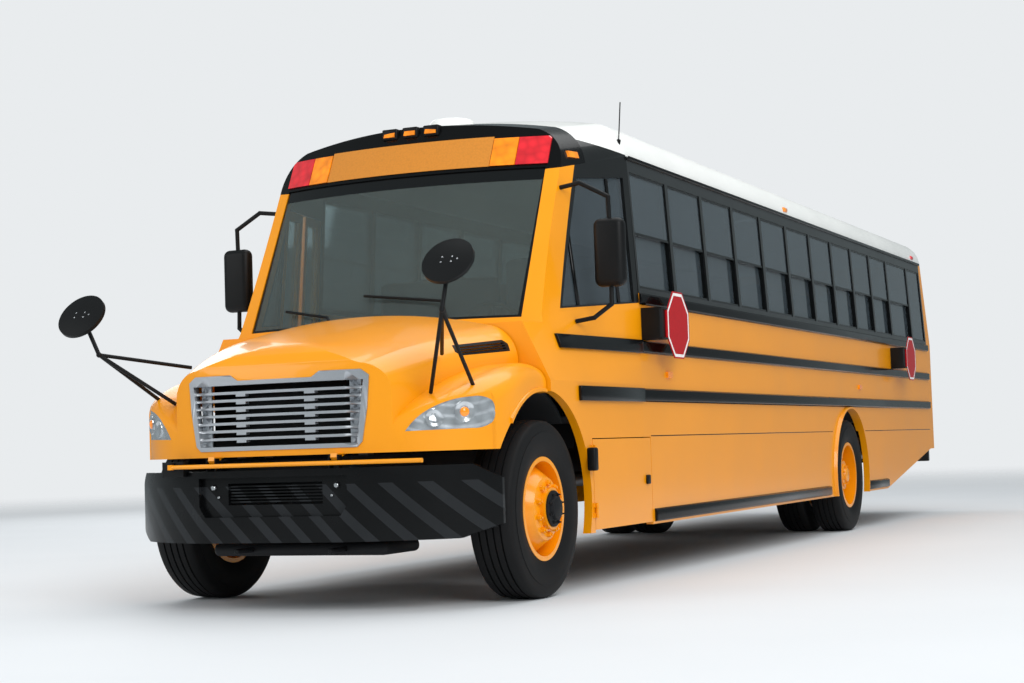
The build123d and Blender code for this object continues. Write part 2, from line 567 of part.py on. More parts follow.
# Power train
ENGINE_X = (4880, 5480)
engine = block(*ENGINE_X, -290, 290, 700, 1340) + block(4930, 5430, -200, 200, 560, 700)
engine += block(4100, 4880, -190, 190, 560, 840)
for y in (-RAIL_OUT_Y + 12 + FIT, RAIL_OUT_Y - 12 - FIT):
    engine += block(5000, 5100, min(0, y), max(0, y), 710, 780)
    engine += block(4300, 4400, min(0, y), max(0, y), 700, 770)
save("engine", engine)
radiator = block(5580, 5650, -420, 420, 880, 1290)
for y in (-395, 395):
    radiator += block(5580, 5650, y - 30, y + 30, RAIL_Z[1], 900)
save("radiator", radiator)
SHAFT_REAR = (-1905, 0, 560)
SHAFT_FRONT = (4110, 0, 640)
shaft = rod(SHAFT_REAR, SHAFT_FRONT, 50)
tank = block(-5250, -3650, -330, 330, 440, 840)
tank = fillet(tank.edges().filter_by(Axis.X), 60)
for x in (-5000, -3900):
    tank += block(x - 40, x + 40, -(RAIL_OUT_Y - 12 - FIT), RAIL_OUT_Y - 12 - FIT, 700, 820)
save("fuel_tank", tank)
muffler = rod((700, 640, 640), (2000, 640, 640), 120)
pipe = bar_path([(2000, 640, 640), (3900, 640, 640), (4300, 420 + 60, 560)], 50)
tail = bar_path([(700, 640, 640), (-1150, 640, 700), (-1300, 500, 905), (-2950, 500, 905), (-3150, 640, 700),
                 (-5900, 640, 640)], 40)
exhaust = muffler + pipe + tail
for x in (3000, 1350, -200, -4600):
    exhaust += block(x - 15, x + 15, RAIL_OUT_Y, 640, 625, 655)
save("exhaust", exhaust)

# Axles, springs and steering
BEAM_Z = (390, 470)
EYE_R = 48
PIN_R = 20
EYE_Z = (460, 560)
axle_beam = block(FRONT_AXLE_X - 50, FRONT_AXLE_X + 50, -620, 620, *BEAM_Z)
beam_outline = [(560, BEAM_Z[0]), (640, BEAM_Z[0]), (800, EYE_Z[0]), (KINGPIN_Y, EYE_Z[0]), (KINGPIN_Y, EYE_Z[1]),
                (800, EYE_Z[1]), (600, BEAM_Z[1])]
beam_arm = prism(beam_outline, "X", FRONT_AXLE_X - 40, FRONT_AXLE_X + 40)
eye = Pos(FRONT_AXLE_X, KINGPIN_Y, sum(EYE_Z) / 2) * Cylinder(EYE_R, EYE_Z[1] - EYE_Z[0])
half_axle = beam_arm + eye - Pos(FRONT_AXLE_X, KINGPIN_Y, AXLE_Z) * Cylinder(PIN_R + FIT, 400)
front_axle = axle_beam + half_axle + mirrored(half_axle)
save("front_axle", front_axle)

ARM_LENGTH = 180
TIE_Z = 385
TIE_PIN_R = 12
TIE_BOSS_R = 24
SPINDLE_R = 40


def knuckle():
    """The left steering knuckle: two lugs on the kingpin, a spindle and a steering arm."""
    x, y = FRONT_AXLE_X, KINGPIN_Y
    shape = Pos(x, y, AXLE_Z) * Cylinder(PIN_R, 210)
    for z0, z1 in ((EYE_Z[1] + 6, EYE_Z[1] + 46), (EYE_Z[0] - 46, EYE_Z[0] - 6)):
        shape += Pos(x, y, (z0 + z1) / 2) * Cylinder(EYE_R, z1 - z0)
        shape += block(x - 45, x + 45, y, y + 85, z0, z1)
    shape += block(x - 45, x + 45, y + 60, y + 85, EYE_Z[0] - 46, EYE_Z[1] + 46)
    shape += rod((x, y + 70, AXLE_Z), (x, FRONT_WHEEL_Y + 90, AXLE_Z), SPINDLE_R)
    shape += block(x - ARM_LENGTH, x, y - 22, y + 22, EYE_Z[0] - 40, EYE_Z[0] - 12)
    shape += rod((x - ARM_LENGTH, y, TIE_Z - 30), (x - ARM_LENGTH, y, EYE_Z[0] - 12), TIE_PIN_R)
    shape += Pos(x - ARM_LENGTH, y, EYE_Z[0] - 26) * Cylinder(22, 28)
    return shape


save("knuckle_left", knuckle())
save("knuckle_right", mirrored(knuckle()))
tie_x = FRONT_AXLE_X - ARM_LENGTH
tie_rod = rod((tie_x, -KINGPIN_Y, TIE_Z), (tie_x, KINGPIN_Y, TIE_Z), 20)
for y in (-KINGPIN_Y, KINGPIN_Y):
    tie_rod += Pos(tie_x, y, TIE_Z) * Cylinder(TIE_BOSS_R, 44)
for y in (-KINGPIN_Y, KINGPIN_Y):
    tie_rod -= Pos(tie_x, y, TIE_Z) * Cylinder(TIE_PIN_R + FIT, 120)
save("tie_rod", tie_rod)

rear_axle = rod((REAR_AXLE_X, -600, AXLE_Z), (REAR_AXLE_X, 600, AXLE_Z), 70)
rear_axle += rod((REAR_AXLE_X, -(REAR_OUTER_Y - 20), AXLE_Z), (REAR_AXLE_X, REAR_OUTER_Y - 20, AXLE_Z), 45)
bulge = [(0, -260), (70, -260), (200, -90), (200, 90), (70, 260), (0, 260)]
bulge_face = make_face(Polyline(*[(r, y, 0) for r, y in bulge], close=True))
rear_axle += Pos(REAR_AXLE_X, 0, AXLE_Z) * revolve(bulge_face, axis=Axis.Y)
rear_axle += rod((REAR_AXLE_X, 0, AXLE_Z), (-1910, 0, 560), 80)
save("rear_axle", rear_axle)
save("drive_shaft", shaft - rear_axle - engine)

# Leaf springs: (axle x, y, half length, z of the seat, z of the eyes)
SPRINGS = [(FRONT_AXLE_X, RAIL_OUT_Y - 45, 620, BEAM_Z[1], 560),
           (REAR_AXLE_X, RAIL_OUT_Y + 60, 680, AXLE_Z + 70, 600)]
SPRING_T = 60
SPRING_W = 80
springs = []
for x, y, half, seat_z, eye_z in SPRINGS:
    rise = eye_z - seat_z
    under = ThreePointArc((x - half, y - SPRING_W / 2, seat_z + rise), (x, y - SPRING_W / 2, seat_z),
                          (x + half, y - SPRING_W / 2, seat_z + rise))
    over = ThreePointArc((x - half, y - SPRING_W / 2, seat_z + rise + 12), (x, y - SPRING_W / 2, seat_z + SPRING_T),
                         (x + half, y - SPRING_W / 2, seat_z + rise + 12))
    ends = Line((x - half, y - SPRING_W / 2, seat_z + rise), (x - half, y - SPRING_W / 2, seat_z + rise + 12))
    ends += Line((x + half, y - SPRING_W / 2, seat_z + rise), (x + half, y - SPRING_W / 2, seat_z + rise + 12))
    leaf_pack = extrude(make_face(under + over + ends), amount=SPRING_W, dir=(0, 1, 0))
    for end in (x - half, x + half):
        inner_y = min(y - SPRING_W / 2, RAIL_OUT_Y)
        leaf_pack += block(end - 25, end + 25, inner_y, y + SPRING_W / 2, eye_z - 4, RAIL_Z[0] + 60)
    leaf_pack -= block(x - 900, x + 900, -RAIL_OUT_Y, RAIL_OUT_Y, RAIL_Z[0], RAIL_Z[1])
    springs.append(leaf_pack - rear_axle)
save("leaf_springs", both_sides(springs))

# Wheels: outlines as (radius, offset outwards) about the axle's line
HALF_W = TYRE_W / 2
TYRE_OUTLINE = [(RIM_R + FIT, -105), (300, -105), (400, -HALF_W), (TYRE_R - 25, -HALF_W + 8),
                (TYRE_R, -HALF_W + 32), (TYRE_R, HALF_W - 32), (TYRE_R - 25, HALF_W - 8), (400, HALF_W),
                (300, 105), (RIM_R + FIT, 105)]
BARREL = [(272, -118), (298, -118), (298, -106), (RIM_R, -106), (RIM_R, 106), (298, 106), (298, 118),
          (272, 118)]
FRONT_DISC = [(272, -10), (272, 12), (235, 60), (180, 132), (120, 142), (120, 172), (0, 172), (0, 118),
              (SPINDLE_R + FIT, 118), (SPINDLE_R + FIT, -60), (90, -60), (105, 110), (165, 112), (222, 40)]
HUB_R = 45


def turned(outline):
    """A ring turned about the axle's line from a closed outline."""
    return revolve(make_face(Polyline(*[(r, y, 0) for r, y in outline], close=True)), axis=Axis.Y)


tyre = turned(TYRE_OUTLINE)
front_rim = turned(BARREL) + turned(FRONT_DISC)
inner_barrel = Pos(0, -DUAL_SPACING, 0) * turned(BARREL)
REAR_OUTER_DISC = [(272, -96), (272, -72), (228, -152), (140, -152), (130, 70), (0, 70), (0, -10),
                   (HUB_R + FIT, -10), (HUB_R + FIT, -240), (110, -240), (120, -184), (228, -184), (272, -263),
                   (272, -239), (240, -168)]
rear_rim = turned(BARREL) + inner_barrel + turned(REAR_OUTER_DISC)
front_place = Pos(FRONT_AXLE_X, FRONT_WHEEL_Y, AXLE_Z)
rear_place = Pos(REAR_AXLE_X, REAR_OUTER_Y, AXLE_Z)
inner_place = Pos(REAR_AXLE_X, REAR_OUTER_Y - DUAL_SPACING, AXLE_Z)
save("tyre_front_left", front_place * tyre)
save("tyre_front_right", mirrored(front_place * tyre))
save("rim_front_left", front_place * front_rim)
save("rim_front_right", mirrored(front_place * front_rim))
save("tyres_rear_left", [rear_place * tyre, inner_place * tyre])
save("tyres_rear_right", [mirrored(rear_place * tyre), mirrored(inner_place * tyre)])
save("rim_rear_left", rear_place * rear_rim)
save("rim_rear_right", mirrored(rear_place * rear_rim))

# Hood: a centre loft over the engine and a loft over each wheel, joined as one shell
HOOD_REAR_X = COWL_X + 12
HOOD_LOW_Z = 862
HOOD_NOSE_X = 5930
HOOD_T = 18
# Centre stations: (x, half width at the foot, side z, shoulder z, crown z)
HOOD_STATIONS = [
    (HOOD_REAR_X, 1000, 1370, 1590, 1684),
    (5400, 850, 1285, 1490, 1578),
    (5960, 650, 1170, 1330, 1420),
]
SHOULDER_RUN = 0.84
FENDER_Y = BODY_HALF - 45
FENDER_IN_Y = 420
# Fender stations: (x, step in from the outer face, top z, corner radius)
FENDER_STATIONS = [
    (HOOD_REAR_X, 2, 1335, 110),
    (5200, 0, 1330, 120),
    (5450, 24, 1262, 130),
    (5650, 129, 1175, 120),
    (5790, 314, 1085, 100),
    (5900, 574, 1000, 60),
]


def hood_station(x, foot, side_z, shoulder_z, crown_z, inset):
    """One centre outline: upright sides, shoulder arcs and a crown arc that meets them smoothly."""
    low = HOOD_LOW_Z - (1 if inset else 0)
    y = foot - inset
    shoulder_y = foot - SHOULDER_RUN * (shoulder_z - side_z) - inset * 0.6
    top = shoulder_z - inset * 0.8
    outline = ThreePointArc((x, shoulder_y, top), (x, 0, crown_z - inset), (x, -shoulder_y, top))
    for side in (1, -1):
        outline += Line((x, side * y, low), (x, side * y, side_z))
        outline += TangentArc((x, side * y, side_z), (x, side * shoulder_y, top), tangent=(0, 0, 1))
    return make_face(outline + Line((x, y, low), (x, -y, low)))


def fender_station(x, step, top_z, radius, inset):
    """One left fender outline: a box with its outer top corner rounded."""
    low = HOOD_LOW_Z - (1 if inset else 0)
    y, z, r = FENDER_Y - step - inset, top_z - inset, radius - inset * 0.5
    corner = TangentArc((x, y, z - r), (x, y - r, z), tangent=(0, 0, 1))
    rest = Polyline((x, y - r, z), (x, FENDER_IN_Y, z), (x, FENDER_IN_Y, low), (x, y, low), (x, y, z - r))
    return make_face(rest + corner)


def nose_plan(inset):
    """The hood's plan as a prism: a bowed nose and two swept corners, moved in by an inset."""
    nose, corner, end = HOOD_NOSE_X - inset, (5825 - inset, 760 - inset * 0.7), (5500 - inset * 0.7, 1120)
    bow = (nose - 30, 520)
    outline = ThreePointArc((*bow, 0), (nose, 0, 0), (bow[0], -bow[1], 0))
    for side in (1, -1):
        outline += ThreePointArc((bow[0], side * bow[1], 0), (corner[0], side * corner[1], 0), (end[0], side * end[1], 0))
        outline += Polyline((end[0], side * end[1], 0), (5400, side * SIDE_OUT, 0), (4700, side * SIDE_OUT, 0))
    outline += Line((4700, SIDE_OUT, 0), (4700, -SIDE_OUT, 0))
    return extrude(make_face(outline), amount=2000, dir=(0, 0, 1))


def hood_volume(inset):
    """The hood's outer form, or its hollow when given an inset."""
    back = 5 if inset else 0
    centre_faces = []
    for i, (x, foot, side_z, shoulder_z, crown_z) in enumerate(HOOD_STATIONS):
        centre_faces.append(hood_station(x - (0 if i else back), foot, side_z, shoulder_z, crown_z, inset))
    fender_faces = []
    for i, (x, step, top_z, radius) in enumerate(FENDER_STATIONS):
        fender_faces.append(fender_station(x - (inset * 0.6 if i else back), step, top_z, radius, inset))
    fender = loft(fender_faces)
    body = loft(centre_faces) + fender + mirrored(fender)
    nose = HOOD_NOSE_X - inset
    brow_foot, brow_mid, brow_top = (nose + 1, 1270), (5880 - inset, 1400 - inset), (5720 - inset, 1505 - inset)
    y = -SIDE_OUT
    brow = ThreePointArc((brow_foot[0], y, brow_foot[1]), (brow_mid[0], y, brow_mid[1]), (brow_top[0], y, brow_top[1]))
    brow += Polyline((brow_top[0], y, brow_top[1]), (4700, y, 1720 - inset), (4700, y, 700), (brow_foot[0], y, 700),
                     (brow_foot[0], y, brow_foot[1]))
    profile = extrude(make_face(brow), amount=2 * SIDE_OUT, dir=(0, 1, 0))
    return body & nose_plan(inset) & profile


# Grille opening as a half outline from the centre round: (y, z); its top steps down at the middle
GRILLE_HALF_OUTLINE = [(237, 1286), (286, 1318), (530, 1318), (576, 1285), (562, 1110), (530, 925), (500, 896)]
GRILLE_OUTLINE = GRILLE_HALF_OUTLINE + [(-y, z) for y, z in reversed(GRILLE_HALF_OUTLINE)]
# Headlamp outline: an arc over the top, a round outer end and a straight lower edge, as (y, z)
LAMP_TIP = (752, 972)
LAMP_TOP = (1054, 1152)
LAMP_END = (1135, 1074)
LAMP_LOW = (1051, 979)


def lamp_prism(shrink=0):
    """A prism along X over the left headlamp's leaf outline."""
    points = [(0, y, z) for y, z in (LAMP_TIP, (858, 1083), LAMP_TOP, (1120, 1130), LAMP_END, (1112, 1000), LAMP_LOW)]
    outline = ThreePointArc(*points[0:3]) + ThreePointArc(*points[2:5]) + ThreePointArc(*points[4:7])
    face = make_face(outline + Line(points[6], points[0]))
    if shrink:
        face = offset(face, amount=-shrink)
    return Pos(5400, 0, 0) * extrude(face, amount=600, dir=(1, 0, 0))


# Side vent outline on the hood, as (x, z)
VENT_OUTLINE = [(4910, 1425), (5310, 1392), (5345, 1412), (5330, 1452), (4935, 1492), (4905, 1470)]
FRONT_LIP_W = 40
FRONT_FLARE = 7
hood_outer = hood_volume(0)
skin = hood_outer - hood_volume(HOOD_T)
front_lip = arch_lip(FRONT_AXLE_X, AXLE_Z + FRONT_ARCH_RISE, FRONT_ARCH_R - 1, FRONT_LIP_W, FENDER_Y - 40, FRONT_FLARE + 40)
front_lip &= block(HOOD_REAR_X, 5360, 0, SIDE_OUT, HOOD_LOW_Z, 1300)
front_lip -= hood_volume(HOOD_T / 2)
lamp_cut = lamp_prism()
vent_cut = prism(VENT_OUTLINE, "Y", 400, SIDE_OUT)
hood = skin + front_lip + mirrored(front_lip) - front_arch()
hood -= prism(GRILLE_OUTLINE, "X", 5700, 6100)
hood -= lamp_cut + mirrored(lamp_cut)
hood -= vent_cut + mirrored(vent_cut)
lamps = (hood_outer - hood_volume(40)) & lamp_prism(FIT)
HINGE = (5960, 845)
LUG_Y = 390
LUG_OUTLINE = [(5870, 866), (HINGE[0] + 10, 866), (HINGE[0] + 16, HINGE[1]), (HINGE[0], HINGE[1] - 16),
               (HINGE[0] - 40, HINGE[1]), (5870, 862)]
HINGE_ROD_R = 8
for y in (-LUG_Y, LUG_Y):
    lug = prism(LUG_OUTLINE, "Y", y - 20, y + 20)
    hood += lug - rod((HINGE[0], y - 40, HINGE[1]), (HINGE[0], y + 40, HINGE[1]), HINGE_ROD_R + FIT)
save("hood", hood)
save("headlamps", both_sides([lamps]))

# Grille: a bowed frame with seven slats, two posts and rows of clips, and the hood's side vents
SLATS = 7
SLAT_T = 15
GRILLE_INNER = [(-544, 1262), (544, 1262), (500, 920), (-500, 920)]
POST_Y = 478
CLIP_Y = 220
frame_band = nose_plan(-6) - nose_plan(44)
slat_band = nose_plan(0) - nose_plan(38)
post_band = nose_plan(36) - nose_plan(50)
grille = (frame_band & prism(GRILLE_OUTLINE, "X", 5700, 6100, shrink=FIT)) - prism(GRILLE_INNER, "X", 5700, 6100)
slat_low, slat_high = GRILLE_INNER[2][1], GRILLE_INNER[0][1]
slat_pitch = (slat_high - slat_low) / (SLATS + 1)
grille_bars = prism(GRILLE_INNER, "X", 5700, 6100, shrink=-6)
for i in range(SLATS):
    z = slat_low + slat_pitch * (i + 1)
    grille += slat_band & grille_bars & block(5700, 6100, -600, 600, z - SLAT_T / 2, z + SLAT_T / 2)
    for y in (-CLIP_Y, CLIP_Y):
        grille += slat_band & block(5700, 6100, y - 32, y + 32, z - slat_pitch / 2, z + SLAT_T / 2)
for y in (-POST_Y, POST_Y):
    grille += post_band & grille_bars & block(5700, 6100, y - 34, y + 34, slat_low - 10, slat_high + 10)
vent = skin & prism(VENT_OUTLINE, "Y", 400, SIDE_OUT, shrink=FIT)
VENT_SLOTS = 4
for i in range(VENT_SLOTS):
    rise = 14 + i * 15
    slot = [(4935, 1424 + rise), (5310, 1388 + rise), (5310, 1396 + rise), (4935, 1432 + rise)]
    vent -= prism(slot, "Y", 400, SIDE_OUT) & prism(VENT_OUTLINE, "Y", 400, SIDE_OUT, shrink=12)
save("grille", [grille] + both_sides([vent]))

# Front bumper with its centre intake
BUMPER_Z = (388, 786)
BUMPER_HALF = FENDER_Y - 2
BUMPER_END_Z = (456, 706)
RECESS = (470, 530, 748)
INTAKE = (300, 596, 716)
INTAKE_BARS = 6


def bumper_plan(front, corner, end):
    """The bumper's plan edge: flat at the centre, swept back to the corners."""
    edge = Line((front, 450, 0), (front, -450, 0))
    for side in (1, -1):
        edge += ThreePointArc((front, side * 450, 0), (corner, side * 880, 0), (end, side * BUMPER_HALF, 0))
    return edge


outer_edge = bumper_plan(5985, 5795, 5505)
inner_edge = bumper_plan(5926, 5745, 5478)
ends = Line((5505, BUMPER_HALF, 0), (5478, BUMPER_HALF, 0)) + Line((5505, -BUMPER_HALF, 0), (5478, -BUMPER_HALF, 0))
bumper = extrude(make_face(outer_edge + inner_edge + ends), amount=1000, dir=(0, 0, 1))
half_view = [(BUMPER_HALF - 172, BUMPER_Z[0]), (BUMPER_HALF, BUMPER_END_Z[0]), (BUMPER_HALF, BUMPER_END_Z[1]),
             (BUMPER_HALF - 112, BUMPER_Z[1])]
bumper &= prism(half_view + [(-y, z) for y, z in reversed(half_view)], "X", 5300, 6100)
recess_half, recess_low, recess_high = RECESS
recess = [(-recess_half + 40, recess_low), (recess_half - 40, recess_low), (recess_half, recess_low + 60),
          (recess_half, recess_high), (-recess_half, recess_high), (-recess_half, recess_low + 60)]
bumper -= prism(recess, "X", 5946, 6100)
intake_half, intake_low, intake_high = INTAKE
bumper -= block(5900, 6000, -intake_half, intake_half, intake_low, intake_high)
bar_pitch = (intake_high - intake_low) / (INTAKE_BARS + 1)
for i in range(INTAKE_BARS):
    z = intake_low + bar_pitch * (i + 1)
    bumper += block(5900, 5932, -intake_half - 6, intake_half + 6, z - 4, z + 4)
for y in (-LUG_Y, LUG_Y):
    for side in (-33, 23):
        ear = block(HINGE[0] - 22, HINGE[0] + 18, y + side, y + side + 10, 780, HINGE[1] + 14)
        bumper += ear
    bumper += rod((HINGE[0], y - 33, HINGE[1]), (HINGE[0], y + 33, HINGE[1]), HINGE_ROD_R)
for y in (-392, 392):
    bumper += block(FRAME_X[1], 5930, y - 32, y + 32, 620, 780)
save("bumper_front", bumper)

bumper_rear = block(REAR_X - 90, REAR_X, -1150, 1150, 560, 860)
bumper_rear = chamfer(bumper_rear.faces().sort_by(Axis.X)[0].edges(), 25)
for y in (-395, 395):
    bumper_rear += block(REAR_X - 30, FRAME_X[0], y - 35, y + 35, 610, TAIL_LOW_Z - 2)
save("bumper_rear", bumper_rear)

# Crossing arm and stop arms with their drive boxes
ARM_X = 6003
ARM_PIVOT_Y = -640
ARM_TIP_Y = 940
ARM_Z = 815
arm = rod((ARM_X, ARM_PIVOT_Y, ARM_Z), (ARM_X, ARM_TIP_Y, ARM_Z), 12)
arm += Pos(ARM_X, ARM_PIVOT_Y, ARM_Z) * Cylinder(18, 28)
arm -= Pos(ARM_X, ARM_PIVOT_Y, ARM_Z) * Cylinder(6 + FIT, 60)
save("crossing_arm", arm)
STOP_Y = BODY_HALF + 133
STOP_SIZE = 445
STOP_Z = 1643
# Stop arms: (name, hinge x)
STOPS = [("stop_sign_front", 3225), ("stop_sign_rear", -4140)]
arm_boxes = []
for stop_name, hinge_x in STOPS:
    octagon = Pos(hinge_x - 14 - STOP_SIZE / 2, STOP_Y, STOP_Z) * Rot(90, 0, 0)
    blade = octagon * extrude(RegularPolygon(STOP_SIZE / 2, 8, major_radius=False, rotation=22.5), 3, both=True)
    blade += block(hinge_x - 40, hinge_x, STOP_Y - 3, STOP_Y + 3, STOP_Z - 80, STOP_Z + 80)
    blade += rod((hinge_x, STOP_Y, STOP_Z - 90), (hinge_x, STOP_Y, STOP_Z + 90), 10)
    blade -= rod((hinge_x, STOP_Y, STOP_Z - 120), (hinge_x, STOP_Y, STOP_Z + 120), 5 + FIT)
    save(stop_name, blade)
    box_x = (hinge_x + 16, hinge_x + 116)
    arm_box = block(*box_x, BODY_HALF, STOP_Y - 4, STOP_Z - 105, STOP_Z + 105)
    for z0, z1 in ((STOP_Z - 105, STOP_Z - 93), (STOP_Z + 93, STOP_Z + 105)):
        arm_box += block(hinge_x - 9, box_x[1], STOP_Y - 60, STOP_Y + 9, z0, z1)
    arm_box += rod((hinge_x, STOP_Y, STOP_Z - 105), (hinge_x, STOP_Y, STOP_Z + 105), 5)
    arm_boxes.append(arm_box)
arm_base = block(ARM_X - 70, ARM_X - 20, ARM_PIVOT_Y - 70, ARM_PIVOT_Y + 70, 760, ARM_Z + 30)
arm_base -= bumper
arm_base += block(ARM_X - 40, ARM_X + 15, ARM_PIVOT_Y - 15, ARM_PIVOT_Y + 15, ARM_Z + 16, ARM_Z + 26)
arm_base += rod((ARM_X, ARM_PIVOT_Y, ARM_Z - 18), (ARM_X, ARM_PIVOT_Y, ARM_Z + 26), 6)
save("arm_drives", arm_boxes + [arm_base])

# Mirrors
MIRROR_Y = BODY_HALF + 115
MIRROR = (4160, MIRROR_Y, 2037)
housing = Pos(*MIRROR) * Box(100, 200, 420)
housing = fillet(housing.edges().filter_by(Axis.Z), 35)
arm_top = bar_path([(4160, 1000, 2461), (4170, 1150, 2480), (4165, MIRROR_Y, 2380), (4160, MIRROR_Y, 2240)], 14)
arm_low = bar_path([(4230, 1120, 1622), (4200, 1230, 1640), (4165, MIRROR_Y, 1720), (4160, MIRROR_Y, 1835)], 14)
side_mirror = housing + arm_top + arm_low - cab_loft()
save("side_mirrors", both_sides([side_mirror]))

# Crossview mirrors: (sign of y, junction, head)
CROSSVIEWS = [(1, (6010, 1085, 1600), (5960, 1110, 1850)), (-1, (6020, 1100, 1470), (6010, 1215, 1690))]
FEET = [(5660, 830, 1180), (5540, 1030, 1215), (5500, 826, 1398)]
HEAD_R = 147
HEAD_RIM = 22
HEAD_DOME = 56
HEAD_TILT = 35
dome_r = (HEAD_R ** 2 + HEAD_DOME ** 2) / (2 * HEAD_DOME)
dome = Pos(0, 0, dome_r - HEAD_DOME) * Sphere(dome_r) & Pos(0, 0, -HEAD_DOME / 2) * Cylinder(HEAD_R, HEAD_DOME)
back_r = 900
back = Pos(0, 0, HEAD_RIM + 12 - back_r) * Sphere(back_r)
mirror_head = dome + (Pos(0, 0, HEAD_RIM) * Cylinder(HEAD_R, 2 * HEAD_RIM) & back)
crossviews = []
for sign, junction, head in CROSSVIEWS:
    crossview = Pos(*head) * Rot(0, 90 - HEAD_TILT, 0) * mirror_head
    crossview += bar_path([junction, head], 12) + Pos(*junction) * Sphere(16)
    for foot in FEET:
        crossview += rod(foot, junction, 11)
    crossview -= hood_outer
    whole = max(crossview.solids(), key=lambda s: s.volume)
    crossviews.append(whole if sign > 0 else mirrored(whole))
save("crossview_mirrors", crossviews)

# Wipers: (pivot, elbow, tip) as (y, z) on the windshield
WIPERS = [((530, 1622), (460, 1760), (-60, 1820)), ((-230, 1622), (-300, 1700), (-640, 1760))]
WIPER_R = 9
WIPER_OFF = 30
bow_r = (GLASS_HALF ** 2 + GLASS_SAG ** 2) / (2 * GLASS_SAG)


def on_glass(y, z):
    """A point standing off the windshield by the wipers' clearance."""
    sag = bow_r - math.sqrt(bow_r ** 2 - y ** 2)
    return (GLASS_LOW_X - GLASS_RAKE * (z - GLASS_LOW_Z) - sag + WIPER_OFF, y, z)


wipers = []
for route in WIPERS:
    pivot, elbow, tip = [on_glass(y, z) for y, z in route]
    foot = (pivot[0], pivot[1], GLASS_LOW_Z + 0.2)
    wipers.append(bar_path([foot, pivot, elbow, tip], WIPER_R))
save("wipers", wipers)

# Lamps: warning pairs on the cap, clearance lamps and side markers
# Cap lamps: (list, inner y, outer y), inside a band of heights
red, amber = [], []
CAP_LAMPS = [(amber, 584, 736), (red, 742, 934)]
CAP_LAMP_Z = (2626, 2812)
LENS_T = 12
SIGN_HALF = 578
SIGN_Z = (2624, 2826)
SIGN_T = 6
for store, y0, y1 in CAP_LAMPS:
    lens = (behind_glass(-LENS_T) - behind_glass(0)) & block(3800, 4500, y0, y1, *CAP_LAMP_Z)
    store += both_sides([lens & nose_volume(4)])
sign = (behind_glass(-SIGN_T) - behind_glass(0)) & block(3900, 4500, -SIGN_HALF, SIGN_HALF, *SIGN_Z)
save("sign_panel", sign)
for y in (-148, 0, 148):
    amber.append((behind_glass(-30) - behind_glass(0)) & block(3900, 4500, y - 38, y + 38, 2884, 2928))
corner = (nose_volume(-16) - nose_volume(0)) & block(3935, 4030, 900, SIDE_OUT, 2672, 2712)
amber += both_sides([corner])
for x, z in ((2840, 1320), (-2630, 1326)):
    amber.append(Pos(x, BODY_HALF + 8, z) * Box(90, 16, 40))
    amber.append(Pos(x, -BODY_HALF - 8, z) * Box(90, 16, 40))
for y in (620, 1090):
    red += both_sides([Pos(REAR_X - 8, y, 1400) * Rot(0, 90, 0) * Cylinder(90, 16)])
save("lamps_amber", amber)
save("lamps_red", red)

# Seats, driver's place and dash
SEAT_PITCH = 740
SEAT_ROWS = 11
SEAT_W = 960
SEAT_FIRST_X = 2560
bench_outline = [(-120, 330), (440, 330), (440, 440), (10, 420), (-50, 1080), (-150, 1080)]
seats = []
for row in range(SEAT_ROWS):
    x = SEAT_FIRST_X - row * SEAT_PITCH
    outline = [(x + a, FLOOR_TOP_Z + b) for a, b in bench_outline]
    bench = prism(outline, "Y", floor_y - 20 - SEAT_W, floor_y - 20)
    for leg_y in (floor_y - 120, floor_y - 20 - SEAT_W + 60):
        bench += block(x + 40, x + 90, leg_y - 15, leg_y + 15, FLOOR_TOP_Z, FLOOR_TOP_Z + 340)
        bench += block(x + 330, x + 380, leg_y - 15, leg_y + 15, FLOOR_TOP_Z, FLOOR_TOP_Z + 340)
    bench -= axle_cylinder(REAR_AXLE_X, HOUSE_R + 13)
    seats.append(max(bench.solids(), key=lambda s: s.volume))
driver_outline = [(3560 + a, FLOOR_TOP_Z + b) for a, b in bench_outline]
driver_seat = prism(driver_outline, "Y", 330, 830) + block(3560, 3860, 430, 730, FLOOR_TOP_Z, FLOOR_TOP_Z + 340)
save("seats", both_sides(seats) + [driver_seat])
dash_outline = [(4440, 1300), (COWL_X - WALL, 1300), (COWL_X - WALL, 1540), (4600, 1540), (4460, 1480)]
dash = prism(dash_outline, "Y", -(BODY_HALF - 339), BODY_HALF - 219)
dash += rod((4500, 580, 1400), (4198, 580, 1566.6), 30)
wheel_place = Plane(origin=(4200, 580, 1565), z_dir=(-0.87, 0, 0.48))
steering = wheel_place * (Torus(220, 14) + Pos(0, 0, 0) * Box(430, 24, 12) + Cylinder(40, 16))
save("dashboard", dash + steering)
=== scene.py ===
# %% [markdown]
# A full-size school bus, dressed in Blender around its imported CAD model.
# The CAD model gives every panel, pane and wheel its place, so this lesson adds finishes, smooth
# skins and small trim.
# Lengths are metres: X runs forward, Y to the bus's left and Z up from the road.

# %% The frame and its box
import json
import math
import bpy
from mathutils import Matrix, Vector

